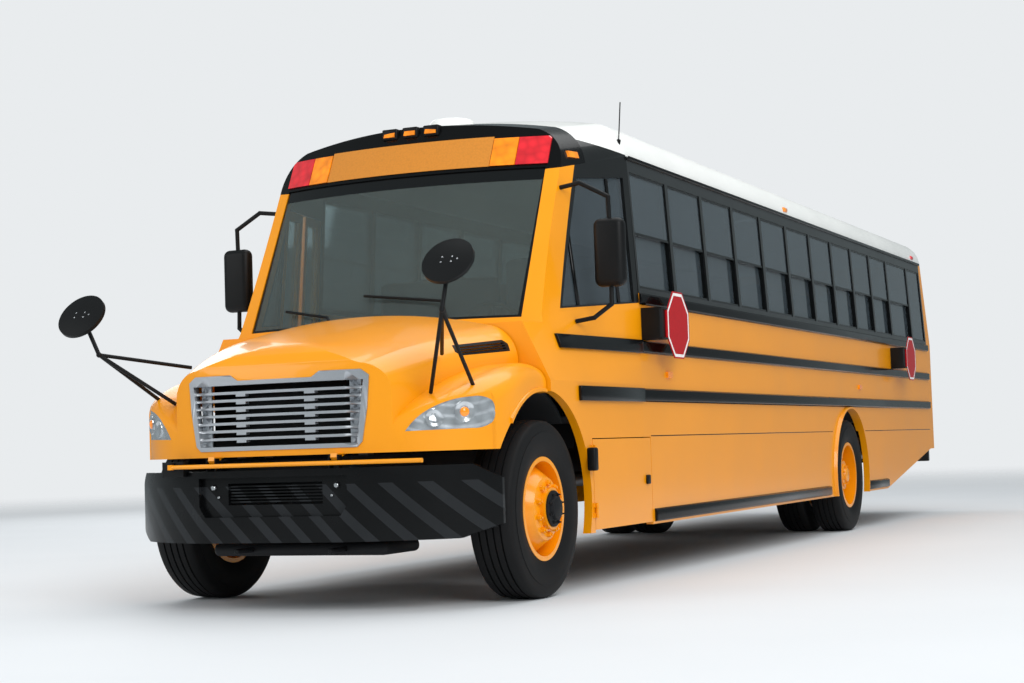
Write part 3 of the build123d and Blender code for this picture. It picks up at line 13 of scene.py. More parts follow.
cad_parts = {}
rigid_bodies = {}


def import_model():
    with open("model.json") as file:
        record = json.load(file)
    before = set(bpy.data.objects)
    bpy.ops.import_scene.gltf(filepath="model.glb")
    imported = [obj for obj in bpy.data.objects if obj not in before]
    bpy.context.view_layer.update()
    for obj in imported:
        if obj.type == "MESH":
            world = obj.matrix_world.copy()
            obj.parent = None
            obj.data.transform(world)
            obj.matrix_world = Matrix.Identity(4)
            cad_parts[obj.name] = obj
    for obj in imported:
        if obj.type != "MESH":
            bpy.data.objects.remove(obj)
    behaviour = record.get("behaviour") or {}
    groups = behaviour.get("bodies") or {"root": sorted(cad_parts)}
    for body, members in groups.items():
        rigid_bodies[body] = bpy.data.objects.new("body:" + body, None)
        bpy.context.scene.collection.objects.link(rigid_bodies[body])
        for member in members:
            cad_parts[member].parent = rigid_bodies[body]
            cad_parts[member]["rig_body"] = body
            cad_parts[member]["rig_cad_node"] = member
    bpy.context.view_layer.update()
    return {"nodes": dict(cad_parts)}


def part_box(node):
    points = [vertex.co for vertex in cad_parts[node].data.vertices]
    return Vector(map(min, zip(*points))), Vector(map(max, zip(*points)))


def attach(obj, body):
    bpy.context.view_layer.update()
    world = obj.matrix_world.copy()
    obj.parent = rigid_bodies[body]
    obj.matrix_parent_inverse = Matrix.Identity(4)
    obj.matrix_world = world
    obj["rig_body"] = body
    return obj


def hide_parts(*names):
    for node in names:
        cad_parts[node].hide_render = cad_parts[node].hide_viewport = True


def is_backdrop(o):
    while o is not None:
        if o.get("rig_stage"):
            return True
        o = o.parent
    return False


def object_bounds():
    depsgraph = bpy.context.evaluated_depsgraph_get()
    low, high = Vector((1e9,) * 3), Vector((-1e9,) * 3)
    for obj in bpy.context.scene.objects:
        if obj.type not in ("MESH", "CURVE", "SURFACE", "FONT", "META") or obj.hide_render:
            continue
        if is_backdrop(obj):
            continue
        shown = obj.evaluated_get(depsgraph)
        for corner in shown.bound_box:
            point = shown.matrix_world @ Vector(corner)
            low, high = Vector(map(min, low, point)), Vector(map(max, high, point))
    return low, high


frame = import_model()
nodes = frame["nodes"]
body_of = {name: obj["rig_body"] for name, obj in nodes.items()}
bpy.context.tool_settings.mesh_select_mode = (False, False, True)

# %% [markdown]
# A camera can be aimed by eye or solved from straight edges in the photograph.
# Here the edges of the body gave its place, its turn and its lens, so the matrix is written as
# three directions.

# %% The camera
CAMERA_PLACE = Vector((14.665, 5.338, 0.871))
CAMERA_RIGHT = Vector((-0.4086, 0.9122, -0.0324))
CAMERA_DOWN = Vector((-0.0387, -0.0528, -0.9979))
CAMERA_AHEAD = Vector((-0.9120, -0.4064, 0.0569))
camera_data = bpy.data.cameras.new("photo_camera")
camera_data.lens = 64.8
camera_data.sensor_width = 36.0
camera_data.clip_end = 200.0
camera = bpy.data.objects.new("photo_camera", camera_data)
bpy.context.scene.collection.objects.link(camera)
columns = (CAMERA_RIGHT, -CAMERA_DOWN, -CAMERA_AHEAD)
turn = Matrix([[c[row] for c in columns] for row in range(3)])
camera.matrix_world = Matrix.Translation(CAMERA_PLACE) @ turn.to_4x4()
bpy.context.scene.camera = camera
print("camera lens", camera_data.lens, "mm")

# %% [markdown]
# Colours are easy to pick as sRGB hex codes, but light is mixed in linear values, so one small
# function turns the first into the second.
# Another adds a node, sets it and links it, because every finish below is a tree of such nodes.

# %% Colours and nodes
scene = bpy.context.scene
scene.view_settings.view_transform = "Standard"


def to_linear(hex_code):
    """An sRGB hex colour as linear RGBA."""
    parts = [int(hex_code[i:i + 2], 16) / 255 for i in (0, 2, 4)]
    linear = [p / 12.92 if p <= 0.04045 else ((p + 0.055) / 1.055) ** 2.4 for p in parts]
    return (*linear, 1.0)


def add_node(tree, kind, settings=None, **inputs):
    """Adds one node, sets its properties and fills its inputs with values or links.
    An input is named by its label, with _ for a space, or by its number after an i."""
    made = tree.nodes.new(kind)
    for key, value in (settings or {}).items():
        setattr(made, key, value)
    for key, value in inputs.items():
        by_number = key[0] == "i" and key[1:].isdigit()
        socket = made.inputs[int(key[1:]) if by_number else key.replace("_", " ")]
        if isinstance(value, bpy.types.NodeSocket):
            tree.links.new(value, socket)
        else:
            socket.default_value = value
    return made


print("view transform", scene.view_settings.view_transform)

# %% [markdown]
# The light is a plain studio; a photograph as background would tie the part to one place.
# Rays that bounce off gloss or pass through glass meet a dimmer world than the camera does, so
# that black paint stays black.

# %% The studio's world
world = bpy.data.worlds.new("studio")
scene.world = world
world.use_nodes = True
sky = world.node_tree
sky.nodes.clear()
path = add_node(sky, "ShaderNodeLightPath")
bounced = add_node(sky, "ShaderNodeMath", {"operation": "MAXIMUM"},
                   i0=path.outputs["Is Glossy Ray"], i1=path.outputs["Is Transmission Ray"])
pale = add_node(sky, "ShaderNodeBackground", Color=to_linear("E9ECEE"), Strength=1.0)
soft = add_node(sky, "ShaderNodeBackground", Color=to_linear("E4E8EC"), Strength=0.8)
dim = add_node(sky, "ShaderNodeBackground", Color=to_linear("8E999C"), Strength=0.8)
lit = add_node(sky, "ShaderNodeMixShader", i0=bounced.outputs[0], i1=soft.outputs[0],
               i2=dim.outputs[0])
backdrop = add_node(sky, "ShaderNodeMixShader", i0=path.outputs["Is Camera Ray"],
                    i1=lit.outputs[0], i2=pale.outputs[0])
add_node(sky, "ShaderNodeOutputWorld", Surface=backdrop.outputs[0])
print("world of", len(sky.nodes), "nodes")

# %% [markdown]
# The key lamp stands high on the camera's right and the fill on its left; one more hangs over the
# roof and one lights the rear.
# Lamps several metres wide give the long soft reflections that show how a panel curves.

# %% Lamps
# Lamps: (name, place, aim, size, watts)
LAMPS = [
    ("key", (13.0, 11.0, 9.0), (2.0, 1.0, 1.3), 8.0, 1150),
    ("fill", (14.0, -9.0, 7.0), (3.0, 0.0, 1.3), 8.0, 420),
    ("top", (0.0, 2.0, 12.0), (0.0, 0.0, 2.0), 12.0, 900),
    ("rear", (-9.0, -11.0, 8.0), (-3.0, 0.0, 1.5), 8.0, 420),
]
for lamp_name, place, aim, size, watts in LAMPS:
    lamp_data = bpy.data.lights.new(lamp_name, "AREA")
    lamp_data.size = size
    lamp_data.energy = watts
    lamp = bpy.data.objects.new(lamp_name, lamp_data)
    lamp.location = place
    lamp.rotation_mode = "QUATERNION"
    lamp.rotation_quaternion = (Vector(aim) - Vector(place)).to_track_quat("-Z", "Y")
    scene.collection.objects.link(lamp)
print(len(LAMPS), "soft lamps")

# %% [markdown]
# Most of this bus is one of a few materials: enamel on steel, moulded plastic, rubber and glass.
# Each function below makes one of them, and reads Object coordinates so that a pattern keeps its
# real size.
# Two colours on one panel could be two meshes; a limit in the material keeps the line exact.

# %% Enamel on sheet steel
YELLOW = "F59B00"
BLACK = "0B0C0D"
WHITE = "EFF0EC"


def start_material(name):
    """An empty material with its tree and the position of the shaded point."""
    material = bpy.data.materials.new(name)
    material.use_nodes = True
    tree = material.node_tree
    tree.nodes.clear()
    return material, tree, add_node(tree, "ShaderNodeTexCoord").outputs["Object"]


def end_material(tree, shader):
    """Joins a shader to the output."""
    add_node(tree, "ShaderNodeOutputMaterial", Surface=shader.outputs[0])


def zoned_colour(tree, place, base, zones):
    """A colour that changes where the distance along a direction passes a limit.
    zones hold (hex, direction, limit)."""
    colour = to_linear(base)
    for hex_code, direction, limit in zones:
        along = add_node(tree, "ShaderNodeVectorMath", {"operation": "DOT_PRODUCT"}, i0=place,
                         i1=direction)
        past = add_node(tree, "ShaderNodeMath", {"operation": "GREATER_THAN"},
                        i0=along.outputs["Value"], i1=limit)
        mix = add_node(tree, "ShaderNodeMix", {"data_type": "RGBA"}, i0=past.outputs[0],
                       i6=colour, i7=to_linear(hex_code))
        colour = mix.outputs[2]
    return colour


def enamel(name, base, zones=(), roughness=0.3, coat=0.35, shine=0.4):
    """Two-coat enamel: even colour with faint clouding, a hard clear gloss and a fine orange peel.
    The peel of real enamel is about 2 mm across; it is drawn at 14 mm so that it shows."""
    material, tree, place = start_material(name)
    colour = zoned_colour(tree, place, base, zones)
    clouds = add_node(tree, "ShaderNodeTexNoise", Vector=place, Scale=1 / 0.45, Detail=3.0)
    level = add_node(tree, "ShaderNodeMapRange", Value=clouds.outputs["Fac"], To_Min=0.93,
                     To_Max=1.05)
    toned = add_node(tree, "ShaderNodeHueSaturation", Color=colour, Value=level.outputs[0])
    peel = add_node(tree, "ShaderNodeTexNoise", Vector=place, Scale=1 / 0.014, Detail=1.0)
    bump = add_node(tree, "ShaderNodeBump", Height=peel.outputs["Fac"], Strength=0.03,
                    Distance=0.002)
    dull = add_node(tree, "ShaderNodeMapRange", Value=clouds.outputs["Fac"],
                    To_Min=roughness - 0.05, To_Max=roughness + 0.07)
    shader = add_node(tree, "ShaderNodeBsdfPrincipled", Base_Color=toned.outputs[0],
                      Roughness=dull.outputs[0], Normal=bump.outputs[0], Coat_Weight=coat,
                      Coat_Roughness=0.05, Specular_IOR_Level=shine)
    end_material(tree, shader)
    return material


UP = (0.0, 0.0, 1.0)
BELT = 1.845
GUTTER = 2.752
yellow_enamel = enamel("bus_yellow_enamel", YELLOW)
white_enamel = enamel("roof_white_enamel", WHITE)
black_enamel = enamel("black_gloss_enamel", BLACK, roughness=0.2, coat=0.1, shine=0.2)
side_enamel = enamel("side_enamel_with_black_band", YELLOW, [(BLACK, UP, BELT)])
rear_enamel = enamel("rear_enamel_with_white_top", YELLOW, [(WHITE, UP, GUTTER)])
# The cab is black above a line through this x and z, which falls to the front
SILL_SLOPE = 0.0819
SILL_X, SILL_Z = 4.345, 1.700
sill = (BLACK, (SILL_SLOPE, 0.0, 1.0), SILL_Z + SILL_SLOPE * SILL_X)
cab_enamel = enamel("cab_enamel_with_black_top", YELLOW, [sill])
# The roof is white above a line through this x and z that climbs over the cab, and behind it
BROW_SLOPE = 0.11
BROW_X, BROW_Z = 3.37, 2.757
brow = (WHITE, (-BROW_SLOPE, 0.0, 1.0), BROW_Z - BROW_SLOPE * BROW_X)
behind = (WHITE, (-1.0, 0.0, 0.0), -BROW_X)
roof_enamel = enamel("roof_enamel_with_black_brow", BLACK, [brow, behind])
print("enamels in three colours")

# %% [markdown]
# Moulded black plastic is never flat: the tool's grain breaks up its highlights.
# The bumper carries slanted grey stripes, which are drawn by the distance along one slanted
# direction, because a cut-out film would need a mesh of its own.

# %% Moulded plastic, stripes and rubber
STRIPE_PITCH = 0.19
STRIPE_SHARE = 0.38
STRIPE_TOP = 0.70
STRIPE_GREY = "232527"


def moulded_plastic(name, hex_code, roughness=0.46, striped=False):
    """Grained ABS: the grain is about 1 mm and is drawn at 5 mm so that it shows."""
    material, tree, place = start_material(name)
    grain = add_node(tree, "ShaderNodeTexNoise", Vector=place, Scale=1 / 0.005, Detail=2.0)
    wear = add_node(tree, "ShaderNodeTexNoise", Vector=place, Scale=1 / 0.3, Detail=4.0)
    colour = to_linear(hex_code)
    if striped:
        along = add_node(tree, "ShaderNodeVectorMath", {"operation": "DOT_PRODUCT"}, i0=place,
                         i1=(0.0, 1 / STRIPE_PITCH, 1 / STRIPE_PITCH))
        share = add_node(tree, "ShaderNodeMath", {"operation": "FRACT"},
                         i0=along.outputs["Value"])
        inside = add_node(tree, "ShaderNodeMath", {"operation": "LESS_THAN"},
                          i0=share.outputs[0], i1=STRIPE_SHARE)
        axes = add_node(tree, "ShaderNodeSeparateXYZ", i0=place)
        low = add_node(tree, "ShaderNodeMath", {"operation": "LESS_THAN"}, i0=axes.outputs["Z"],
                       i1=STRIPE_TOP)
        both = add_node(tree, "ShaderNodeMath", {"operation": "MULTIPLY"}, i0=inside.outputs[0],
                        i1=low.outputs[0])
        colour = add_node(tree, "ShaderNodeMix", {"data_type": "RGBA"}, i0=both.outputs[0],
                          i6=colour, i7=to_linear(STRIPE_GREY)).outputs[2]
    level = add_node(tree, "ShaderNodeMapRange", Value=wear.outputs["Fac"], To_Min=0.75,
                     To_Max=1.3)
    toned = add_node(tree, "ShaderNodeHueSaturation", Color=colour, Value=level.outputs[0])
    dull = add_node(tree, "ShaderNodeMapRange", Value=wear.outputs["Fac"],
                    To_Min=roughness - 0.08, To_Max=roughness + 0.1)
    bump = add_node(tree, "ShaderNodeBump", Height=grain.outputs["Fac"], Strength=0.12,
                    Distance=0.001)
    shader = add_node(tree, "ShaderNodeBsdfPrincipled", Base_Color=toned.outputs[0],
                      Roughness=dull.outputs[0], Normal=bump.outputs[0], Specular_IOR_Level=0.2)
    end_material(tree, shader)
    return material


black_plastic = moulded_plastic("moulded_black_plastic", "111213")
bumper_plastic = moulded_plastic("striped_bumper_coat", "0A0B0C", roughness=0.24, striped=True)
tyre_rubber = moulded_plastic("tyre_rubber", "131314", roughness=0.62)
floor_rubber = moulded_plastic("ribbed_floor_rubber", "26282A", roughness=0.7)
chassis_paint = moulded_plastic("chassis_black_paint", "1B1C1E", roughness=0.5)
seat_vinyl = moulded_plastic("seat_vinyl", "2E3A4C", roughness=0.55)
print("plastics, rubber and vinyl")

# %% [markdown]
# The side panes are tinted and a little dusty, and the windshield is clearer with a printed black
# edge.
# The print could be a thin frame in front of the glass; a border in the material can't lift off.

# %% Tinted glass


def tinted_glass(name, hex_code, passing, border=None):
    """Tinted sheet glass that lets a share of the light pass and dulls the rest, as dust does.
    border holds (half width, low z, high z) inside which the print ends."""
    material, tree, place = start_material(name)
    ripple = add_node(tree, "ShaderNodeTexNoise", Vector=place, Scale=1 / 0.6, Detail=1.0)
    bump = add_node(tree, "ShaderNodeBump", Height=ripple.outputs["Fac"], Strength=0.02,
                    Distance=0.01)
    tint = add_node(tree, "ShaderNodeMapRange", Value=ripple.outputs["Fac"], To_Min=0.9,
                    To_Max=1.1)
    colour = add_node(tree, "ShaderNodeHueSaturation", Color=to_linear(hex_code),
                      Value=tint.outputs[0])
    shader = add_node(tree, "ShaderNodeBsdfPrincipled", Base_Color=colour.outputs[0],
                      Roughness=0.03, IOR=1.5, Transmission_Weight=passing,
                      Normal=bump.outputs[0])
    if border:
        half, low, high = border
        axes = add_node(tree, "ShaderNodeSeparateXYZ", i0=place)
        side = add_node(tree, "ShaderNodeMath", {"operation": "ABSOLUTE"}, i0=axes.outputs["Y"])
        wide = add_node(tree, "ShaderNodeMath", {"operation": "GREATER_THAN"},
                        i0=side.outputs[0], i1=half)
        tall = add_node(tree, "ShaderNodeMath", {"operation": "GREATER_THAN"},
                        i0=axes.outputs["Z"], i1=high)
        foot = add_node(tree, "ShaderNodeMath", {"operation": "LESS_THAN"},
                        i0=axes.outputs["Z"], i1=low)
        ends = add_node(tree, "ShaderNodeMath", {"operation": "MAXIMUM"}, i0=tall.outputs[0],
                        i1=foot.outputs[0])
        edge = add_node(tree, "ShaderNodeMath", {"operation": "MAXIMUM"}, i0=wide.outputs[0],
                        i1=ends.outputs[0])
        clear = add_node(tree, "ShaderNodeMath", {"operation": "MULTIPLY_ADD"},
                         i0=edge.outputs[0], i1=-passing, i2=passing)
        printed = add_node(tree, "ShaderNodeMix", {"data_type": "RGBA"}, i0=edge.outputs[0],
                           i6=colour.outputs[0], i7=to_linear("0C0D0E"))
        tree.links.new(clear.outputs[0], shader.inputs["Transmission Weight"])
        tree.links.new(printed.outputs[2], shader.inputs["Base Color"])
    end_material(tree, shader)
    return material


side_glass = tinted_glass("tinted_side_glass", "717E86", 0.76)
screen_glass = tinted_glass("windshield_glass", "BCCBC6", 0.92, border=(0.915, 1.655, 2.52))
print("two kinds of glass")

# %% [markdown]
# A lamp's lens has flutes moulded inside it, over a bright reflector.
# They are drawn as a fine wave that bends the highlights; cutting each flute would cost thousands
# of faces for lines a few pixels wide.

# %% Fluted lenses


def fluted_lens(name, hex_code, pitch=0.03, metallic=0.0, glow=0.0):
    """A moulded lens with flutes at a pitch in metres, over a bright reflector."""
    material, tree, place = start_material(name)
    flutes = add_node(tree, "ShaderNodeTexWave", {"bands_direction": "DIAGONAL"}, Vector=place,
                      Scale=0.314 / pitch, Distortion=0.6, Detail=1.0)
    cells = add_node(tree, "ShaderNodeTexVoronoi", Vector=place, Scale=1 / (2 * pitch))
    level = add_node(tree, "ShaderNodeMapRange", Value=cells.outputs["Distance"], To_Min=1.15,
                     To_Max=0.6)
    colour = add_node(tree, "ShaderNodeHueSaturation", Color=to_linear(hex_code),
                      Value=level.outputs[0])
    bump = add_node(tree, "ShaderNodeBump", Height=flutes.outputs["Fac"], Strength=0.35,
                    Distance=0.003)
    shader = add_node(tree, "ShaderNodeBsdfPrincipled", Base_Color=colour.outputs[0],
                      Roughness=0.16, Metallic=metallic, Coat_Weight=1.0, Coat_Roughness=0.03,
                      Normal=bump.outputs[0])
    if glow:
        tree.links.new(colour.outputs[0], shader.inputs["Emission Color"])
        shader.inputs["Emission Strength"].default_value = glow
    end_material(tree, shader)
    return material


amber_lens = fluted_lens("amber_lens", "F58A0B", glow=0.35)
red_lens = fluted_lens("red_lens", "D3202B", glow=0.3)
clear_lens = fluted_lens("clear_headlamp_lens", "D5DADE", metallic=0.7)
print("three lenses")

# %% [markdown]
# Bare and coated metals share one tree: a grain that is stretched along the bus, as brushing or
# rolling leaves it.
# A bright metal has a low roughness, and castings have a high one.

# %% Brushed metals


def brushed_metal(name, hex_code, roughness=0.3, metallic=1.0):
    """Metal with a fine grain along X, about 0.4 mm and drawn at 3 mm so that it shows."""
    material, tree, place = start_material(name)
    stretched = add_node(tree, "ShaderNodeMapping", Vector=place, Scale=(6.0, 333.0, 333.0))
    grain = add_node(tree, "ShaderNodeTexNoise", Vector=stretched.outputs[0], Scale=1.0,
                     Detail=2.0)
    level = add_node(tree, "ShaderNodeMapRange", Value=grain.outputs["Fac"], To_Min=0.85,
                     To_Max=1.12)
    colour = add_node(tree, "ShaderNodeHueSaturation", Color=to_linear(hex_code),
                      Value=level.outputs[0])
    dull = add_node(tree, "ShaderNodeMapRange", Value=grain.outputs["Fac"],
                    To_Min=roughness - 0.06, To_Max=roughness + 0.1)
    shader = add_node(tree, "ShaderNodeBsdfPrincipled", Base_Color=colour.outputs[0],
                      Metallic=metallic, Roughness=dull.outputs[0])
    end_material(tree, shader)
    return material


silver_grille = brushed_metal("silver_grille_coat", "B9BDC2", roughness=0.34, metallic=0.75)
bright_steel = brushed_metal("bright_steel", "C9CBCD", roughness=0.22)
dull_steel = brushed_metal("dull_steel", "6D6F72", roughness=0.45)
cast_iron = brushed_metal("cast_iron", "2C2D2F", roughness=0.6, metallic=0.8)
mirror_silver = brushed_metal("mirror_silver", "DDE1E4", roughness=0.05)
print("five metals")

# %% [markdown]
# A stop arm's blade is red reflective sheet with a white edge that follows its eight sides.
# The edge could be a second plate; drawing it from the distance to the sides keeps it exactly
# parallel to them.

# %% Reflective sheets
SHEET_CELL = 0.012


def octagon_sheet(name, centre_x, centre_z, half):
    """Red sheet with a white border, from the largest of the four side distances of an octagon.
    The sheet's cells are about 3 mm and are drawn at SHEET_CELL so that they show."""
    material, tree, place = start_material(name)
    largest = None
    for k in range(4):
        angle = math.radians(45 * k)
        direction = (math.cos(angle), 0.0, math.sin(angle))
        offset = centre_x * direction[0] + centre_z * direction[2]
        along = add_node(tree, "ShaderNodeVectorMath", {"operation": "DOT_PRODUCT"}, i0=place,
                         i1=direction)
        away = add_node(tree, "ShaderNodeMath", {"operation": "SUBTRACT"},
                        i0=along.outputs["Value"], i1=offset)
        size = add_node(tree, "ShaderNodeMath", {"operation": "ABSOLUTE"}, i0=away.outputs[0])
        if largest is None:
            largest = size
        else:
            largest = add_node(tree, "ShaderNodeMath", {"operation": "MAXIMUM"},
                               i0=largest.outputs[0], i1=size.outputs[0])
    outer = add_node(tree, "ShaderNodeMath", {"operation": "LESS_THAN"}, i0=largest.outputs[0],
                     i1=half * 0.955)
    inner = add_node(tree, "ShaderNodeMath", {"operation": "GREATER_THAN"},
                     i0=largest.outputs[0], i1=half * 0.87)
    edge = add_node(tree, "ShaderNodeMath", {"operation": "MULTIPLY"}, i0=outer.outputs[0],
                    i1=inner.outputs[0])
    cells = add_node(tree, "ShaderNodeTexVoronoi", Vector=place, Scale=1 / SHEET_CELL)
    level = add_node(tree, "ShaderNodeMapRange", Value=cells.outputs["Distance"], To_Min=1.06,
                     To_Max=0.88)
    colour = add_node(tree, "ShaderNodeMix", {"data_type": "RGBA"}, i0=edge.outputs[0],
                      i6=to_linear("B30A16"), i7=to_linear("F1EFEC"))
    toned = add_node(tree, "ShaderNodeHueSaturation", Color=colour.outputs[2],
                     Value=level.outputs[0])
    shader = add_node(tree, "ShaderNodeBsdfPrincipled", Base_Color=toned.outputs[0],
                      Roughness=0.3, Specular_IOR_Level=0.15)
    end_material(tree, shader)
    return material


def plain_sheet(name, hex_code):
    """Reflective sheet of one colour: small cells under a clear face."""
    material, tree, place = start_material(name)
    cells = add_node(tree, "ShaderNodeTexVoronoi", Vector=place, Scale=1 / SHEET_CELL)
    level = add_node(tree, "ShaderNodeMapRange", Value=cells.outputs["Distance"], To_Min=1.06,
                     To_Max=0.9)
    toned = add_node(tree, "ShaderNodeHueSaturation", Color=to_linear(hex_code),
                     Value=level.outputs[0])
    shader = add_node(tree, "ShaderNodeBsdfPrincipled", Base_Color=toned.outputs[0],
                      Roughness=0.32, Coat_Weight=0.5)
    end_material(tree, shader)
    return material


STOP_HALF = 0.2225
stop_sheets = {}
for stop_name in ("stop_sign_front", "stop_sign_rear"):
    low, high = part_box(stop_name)
    centre = (low.x + STOP_HALF, (low.z + high.z) / 2)
    stop_sheets[stop_name] = octagon_sheet(stop_name + "_sheet", *centre, STOP_HALF)
sign_sheet = plain_sheet("amber_sign_sheet", "D08425")
print("reflective sheets")

# %% [markdown]
# The CAD nodes come in as loose triangles, which shade as flat facets.
# A merged copy with smooth shading across soft edges looks like the pressed panel, and it stands
# for the node.

# %% Smooth skins over the curved nodes
SOFT_ANGLE = math.radians(28)


def only(obj):
    """Selects one object alone and makes it active."""
    if bpy.context.object and bpy.context.object.mode != "OBJECT":
        bpy.ops.object.mode_set(mode="OBJECT")
    bpy.ops.object.select_all(action="DESELECT")
    obj.select_set(True)
    bpy.context.view_layer.objects.active = obj


def dress(obj, name, material, body):
    """Names a finished piece, gives it one material and puts it on its body."""
    obj.name = name
    obj.data.name = name
    obj.data.materials.clear()
    obj.data.materials.append(material)
    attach(obj, body)
    return obj


def merged_copy(node):
    """A copy of a CAD node with its triangles joined, free of its parent."""
    only(nodes[node])
    bpy.ops.object.duplicate()
    copy = bpy.context.object
    copy.parent = None
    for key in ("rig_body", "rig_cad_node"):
        del copy[key]
    bpy.ops.object.mode_set(mode="EDIT")
    bpy.ops.mesh.select_all(action="SELECT")
    bpy.ops.mesh.remove_doubles(threshold=0.00002)
    bpy.ops.object.mode_set(mode="OBJECT")
    return copy


def fresh_copy(node):
    """A merged copy without the node's stored normals, so that it can be shaded afresh."""
    copy = merged_copy(node)
    if "custom_normal" in copy.data.attributes:
        copy.data.attributes.remove(copy.data.attributes["custom_normal"])
    return copy


# Skins: (node, material, slot)
SKINS = [
    ("hood", yellow_enamel, "paint"),
    ("headlamps", clear_lens, "lamp_clear"),
    ("roof", roof_enamel, "roof_paint"),
    ("roof_cap_front", black_enamel, "black"),
    ("rear_wall", rear_enamel, "paint"),
    ("cab_front", yellow_enamel, "paint"),
    ("windshield", screen_glass, "glass"),
    ("crossview_mirrors", black_plastic, "black"),
    ("side_mirrors", black_plastic, "black"),
    ("wipers", black_plastic, "black"),
    ("bumper_front", bumper_plastic, "black"),
    ("lamps_amber", amber_lens, "lamp_amber"),
    ("lamps_red", red_lens, "lamp_red"),
    ("sign_panel", sign_sheet, "sign_amber"),
    ("crossing_arm", yellow_enamel, "paint"),
    ("fuel_tank", dull_steel, "steel"),
    ("exhaust", dull_steel, "steel"),
    ("dashboard", black_plastic, "black"),
    ("rim_front_left", yellow_enamel, "paint"),
    ("rim_front_right", yellow_enamel, "paint"),
    ("rim_rear_left", yellow_enamel, "paint"),
    ("rim_rear_right", yellow_enamel, "paint"),
    ("skirts", yellow_enamel, "paint"),
    ("side_wall_left", side_enamel, "paint"),
    ("side_wall_right", side_enamel, "paint"),
]
for node, material, slot in SKINS:
    copy = fresh_copy(node)
    bpy.ops.object.shade_smooth_by_angle(angle=SOFT_ANGLE)
    dress(copy, node + "_skin", material, body_of[node])
    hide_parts(node)
print(len(SKINS), "smooth skins")

# %% [markdown]
# A rail that was rolled or a case that was moulded has no sharp edge, and a rounded edge is what
# catches the light.
# Flat triangles are first dissolved into whole faces, so that the bevel follows only true edges.

# %% Rails and cases with rounded edges
# Rounded skins: (node, material, rounding)
ROUNDED = [
    ("rub_rails", black_enamel, 0.008),
    ("bumper_rear", black_enamel, 0.010),
    ("arm_drives", black_plastic, 0.008),
]
for node, material, rounding in ROUNDED:
    copy = fresh_copy(node)
    bpy.ops.object.mode_set(mode="EDIT")
    bpy.ops.mesh.select_all(action="SELECT")
    bpy.ops.mesh.dissolve_limited(angle_limit=math.radians(1))
    bpy.ops.object.mode_set(mode="OBJECT")
    bevel = copy.modifiers.new("round", "BEVEL")
    bevel.width = rounding
    bevel.segments = 2
    bevel.limit_method = "ANGLE"
    bpy.ops.object.modifier_apply(modifier="round")
    bpy.ops.object.shade_smooth_by_angle(angle=math.radians(50))
    dress(copy, node + "_skin", material, body_of[node])
    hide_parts(node)
    print(node, "rounded,", len(copy.data.polygons), "faces")

# %% [markdown]
# Panels that are flat need no new mesh: their own triangles already shade as they should.
# So these nodes keep their mesh and only take a finish.

# %% Finishes for the flat nodes
FINISHES = {
    cab_enamel: ["cab_side_left", "cab_side_right"],
    yellow_enamel: ["access_door", "entry_leaf_front", "entry_leaf_rear", "emergency_door"],
    white_enamel: ["roof_hatch_front", "roof_hatch_rear"],
    black_enamel: ["window_sashes"],
    side_glass: ["window_glass", "entry_glass_front", "entry_glass_rear", "emergency_glass"],
    chassis_paint: ["frame", "front_axle", "rear_axle", "knuckle_left", "knuckle_right",
                    "tie_rod", "leaf_springs", "drive_shaft"],
    cast_iron: ["engine"],
    dull_steel: ["radiator"],
    floor_rubber: ["floor"],
    stop_sheets["stop_sign_front"]: ["stop_sign_front"],
    stop_sheets["stop_sign_rear"]: ["stop_sign_rear"],
}
for material, members in FINISHES.items():
    for node in members:
        nodes[node].data.materials.clear()
        nodes[node].data.materials.append(material)
print(sum(len(m) for m in FINISHES.values()), "flat nodes finished")

# %% [markdown]
# The grille and the hood's side vents are one CAD node, but the grille is silver and the vents
# are black.
# Two merged copies are made, and each keeps only its own share of the triangles.

# %% Grille and vents
VENT_SIDE = 0.62


def part_of_grille(name, material, keep_vents):
    """A copy of the grille node that keeps only the vents, or only the grille."""
    copy = merged_copy("grille")
    bpy.ops.object.mode_set(mode="EDIT")
    bpy.ops.mesh.select_all(action="DESELECT")
    bpy.ops.mesh.select_mode(type="FACE")
    bpy.ops.object.mode_set(mode="OBJECT")
    for polygon in copy.data.polygons:
        is_vent = abs(polygon.center.y) > VENT_SIDE
        polygon.select = is_vent != keep_vents
    bpy.ops.object.mode_set(mode="EDIT")
    bpy.ops.mesh.delete(type="FACE")
    bpy.ops.object.mode_set(mode="OBJECT")
    bpy.ops.object.shade_smooth_by_angle(angle=SOFT_ANGLE)
    return dress(copy, name, material, "hood")


grille_pieces = [part_of_grille("grille_bars", silver_grille, keep_vents=False),
                 part_of_grille("hood_vents", black_plastic, keep_vents=True)]
for piece in grille_pieces:
    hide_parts("grille")
print("grille and vents")

# %% [markdown]
# A tyre is a ring: its section is drawn once and spun about the axle.
# The tread's long grooves are part of the section, so they come out as true channels and not as
# bump.

# %% Tyres
TYRE_STEPS = 96
TYRE_R = 0.510
FRONT_AXLE = Vector((4.920, 0.0, TYRE_R))
REAR_AXLE = Vector((-2.167, 0.0, TYRE_R))
FRONT_WHEEL_Y = 1.045
REAR_WHEEL_Y = 1.078
DUAL_SPACING = 0.335
GROOVE_W = 0.011
GROOVE_D = 0.013
GROOVES = (-0.066, -0.022, 0.022, 0.066)
# Half of the section from the inner bead to the shoulder: (offset along the axle, radius)
SIDEWALL = [(-0.105, 0.2865), (-0.118, 0.302), (-0.137, 0.362), (-0.140, 0.400), (-0.139, 0.440),
            (-0.136, 0.4405), (-0.135, 0.446), (-0.132, 0.478), (-0.126, 0.494), (-0.112, 0.505)]


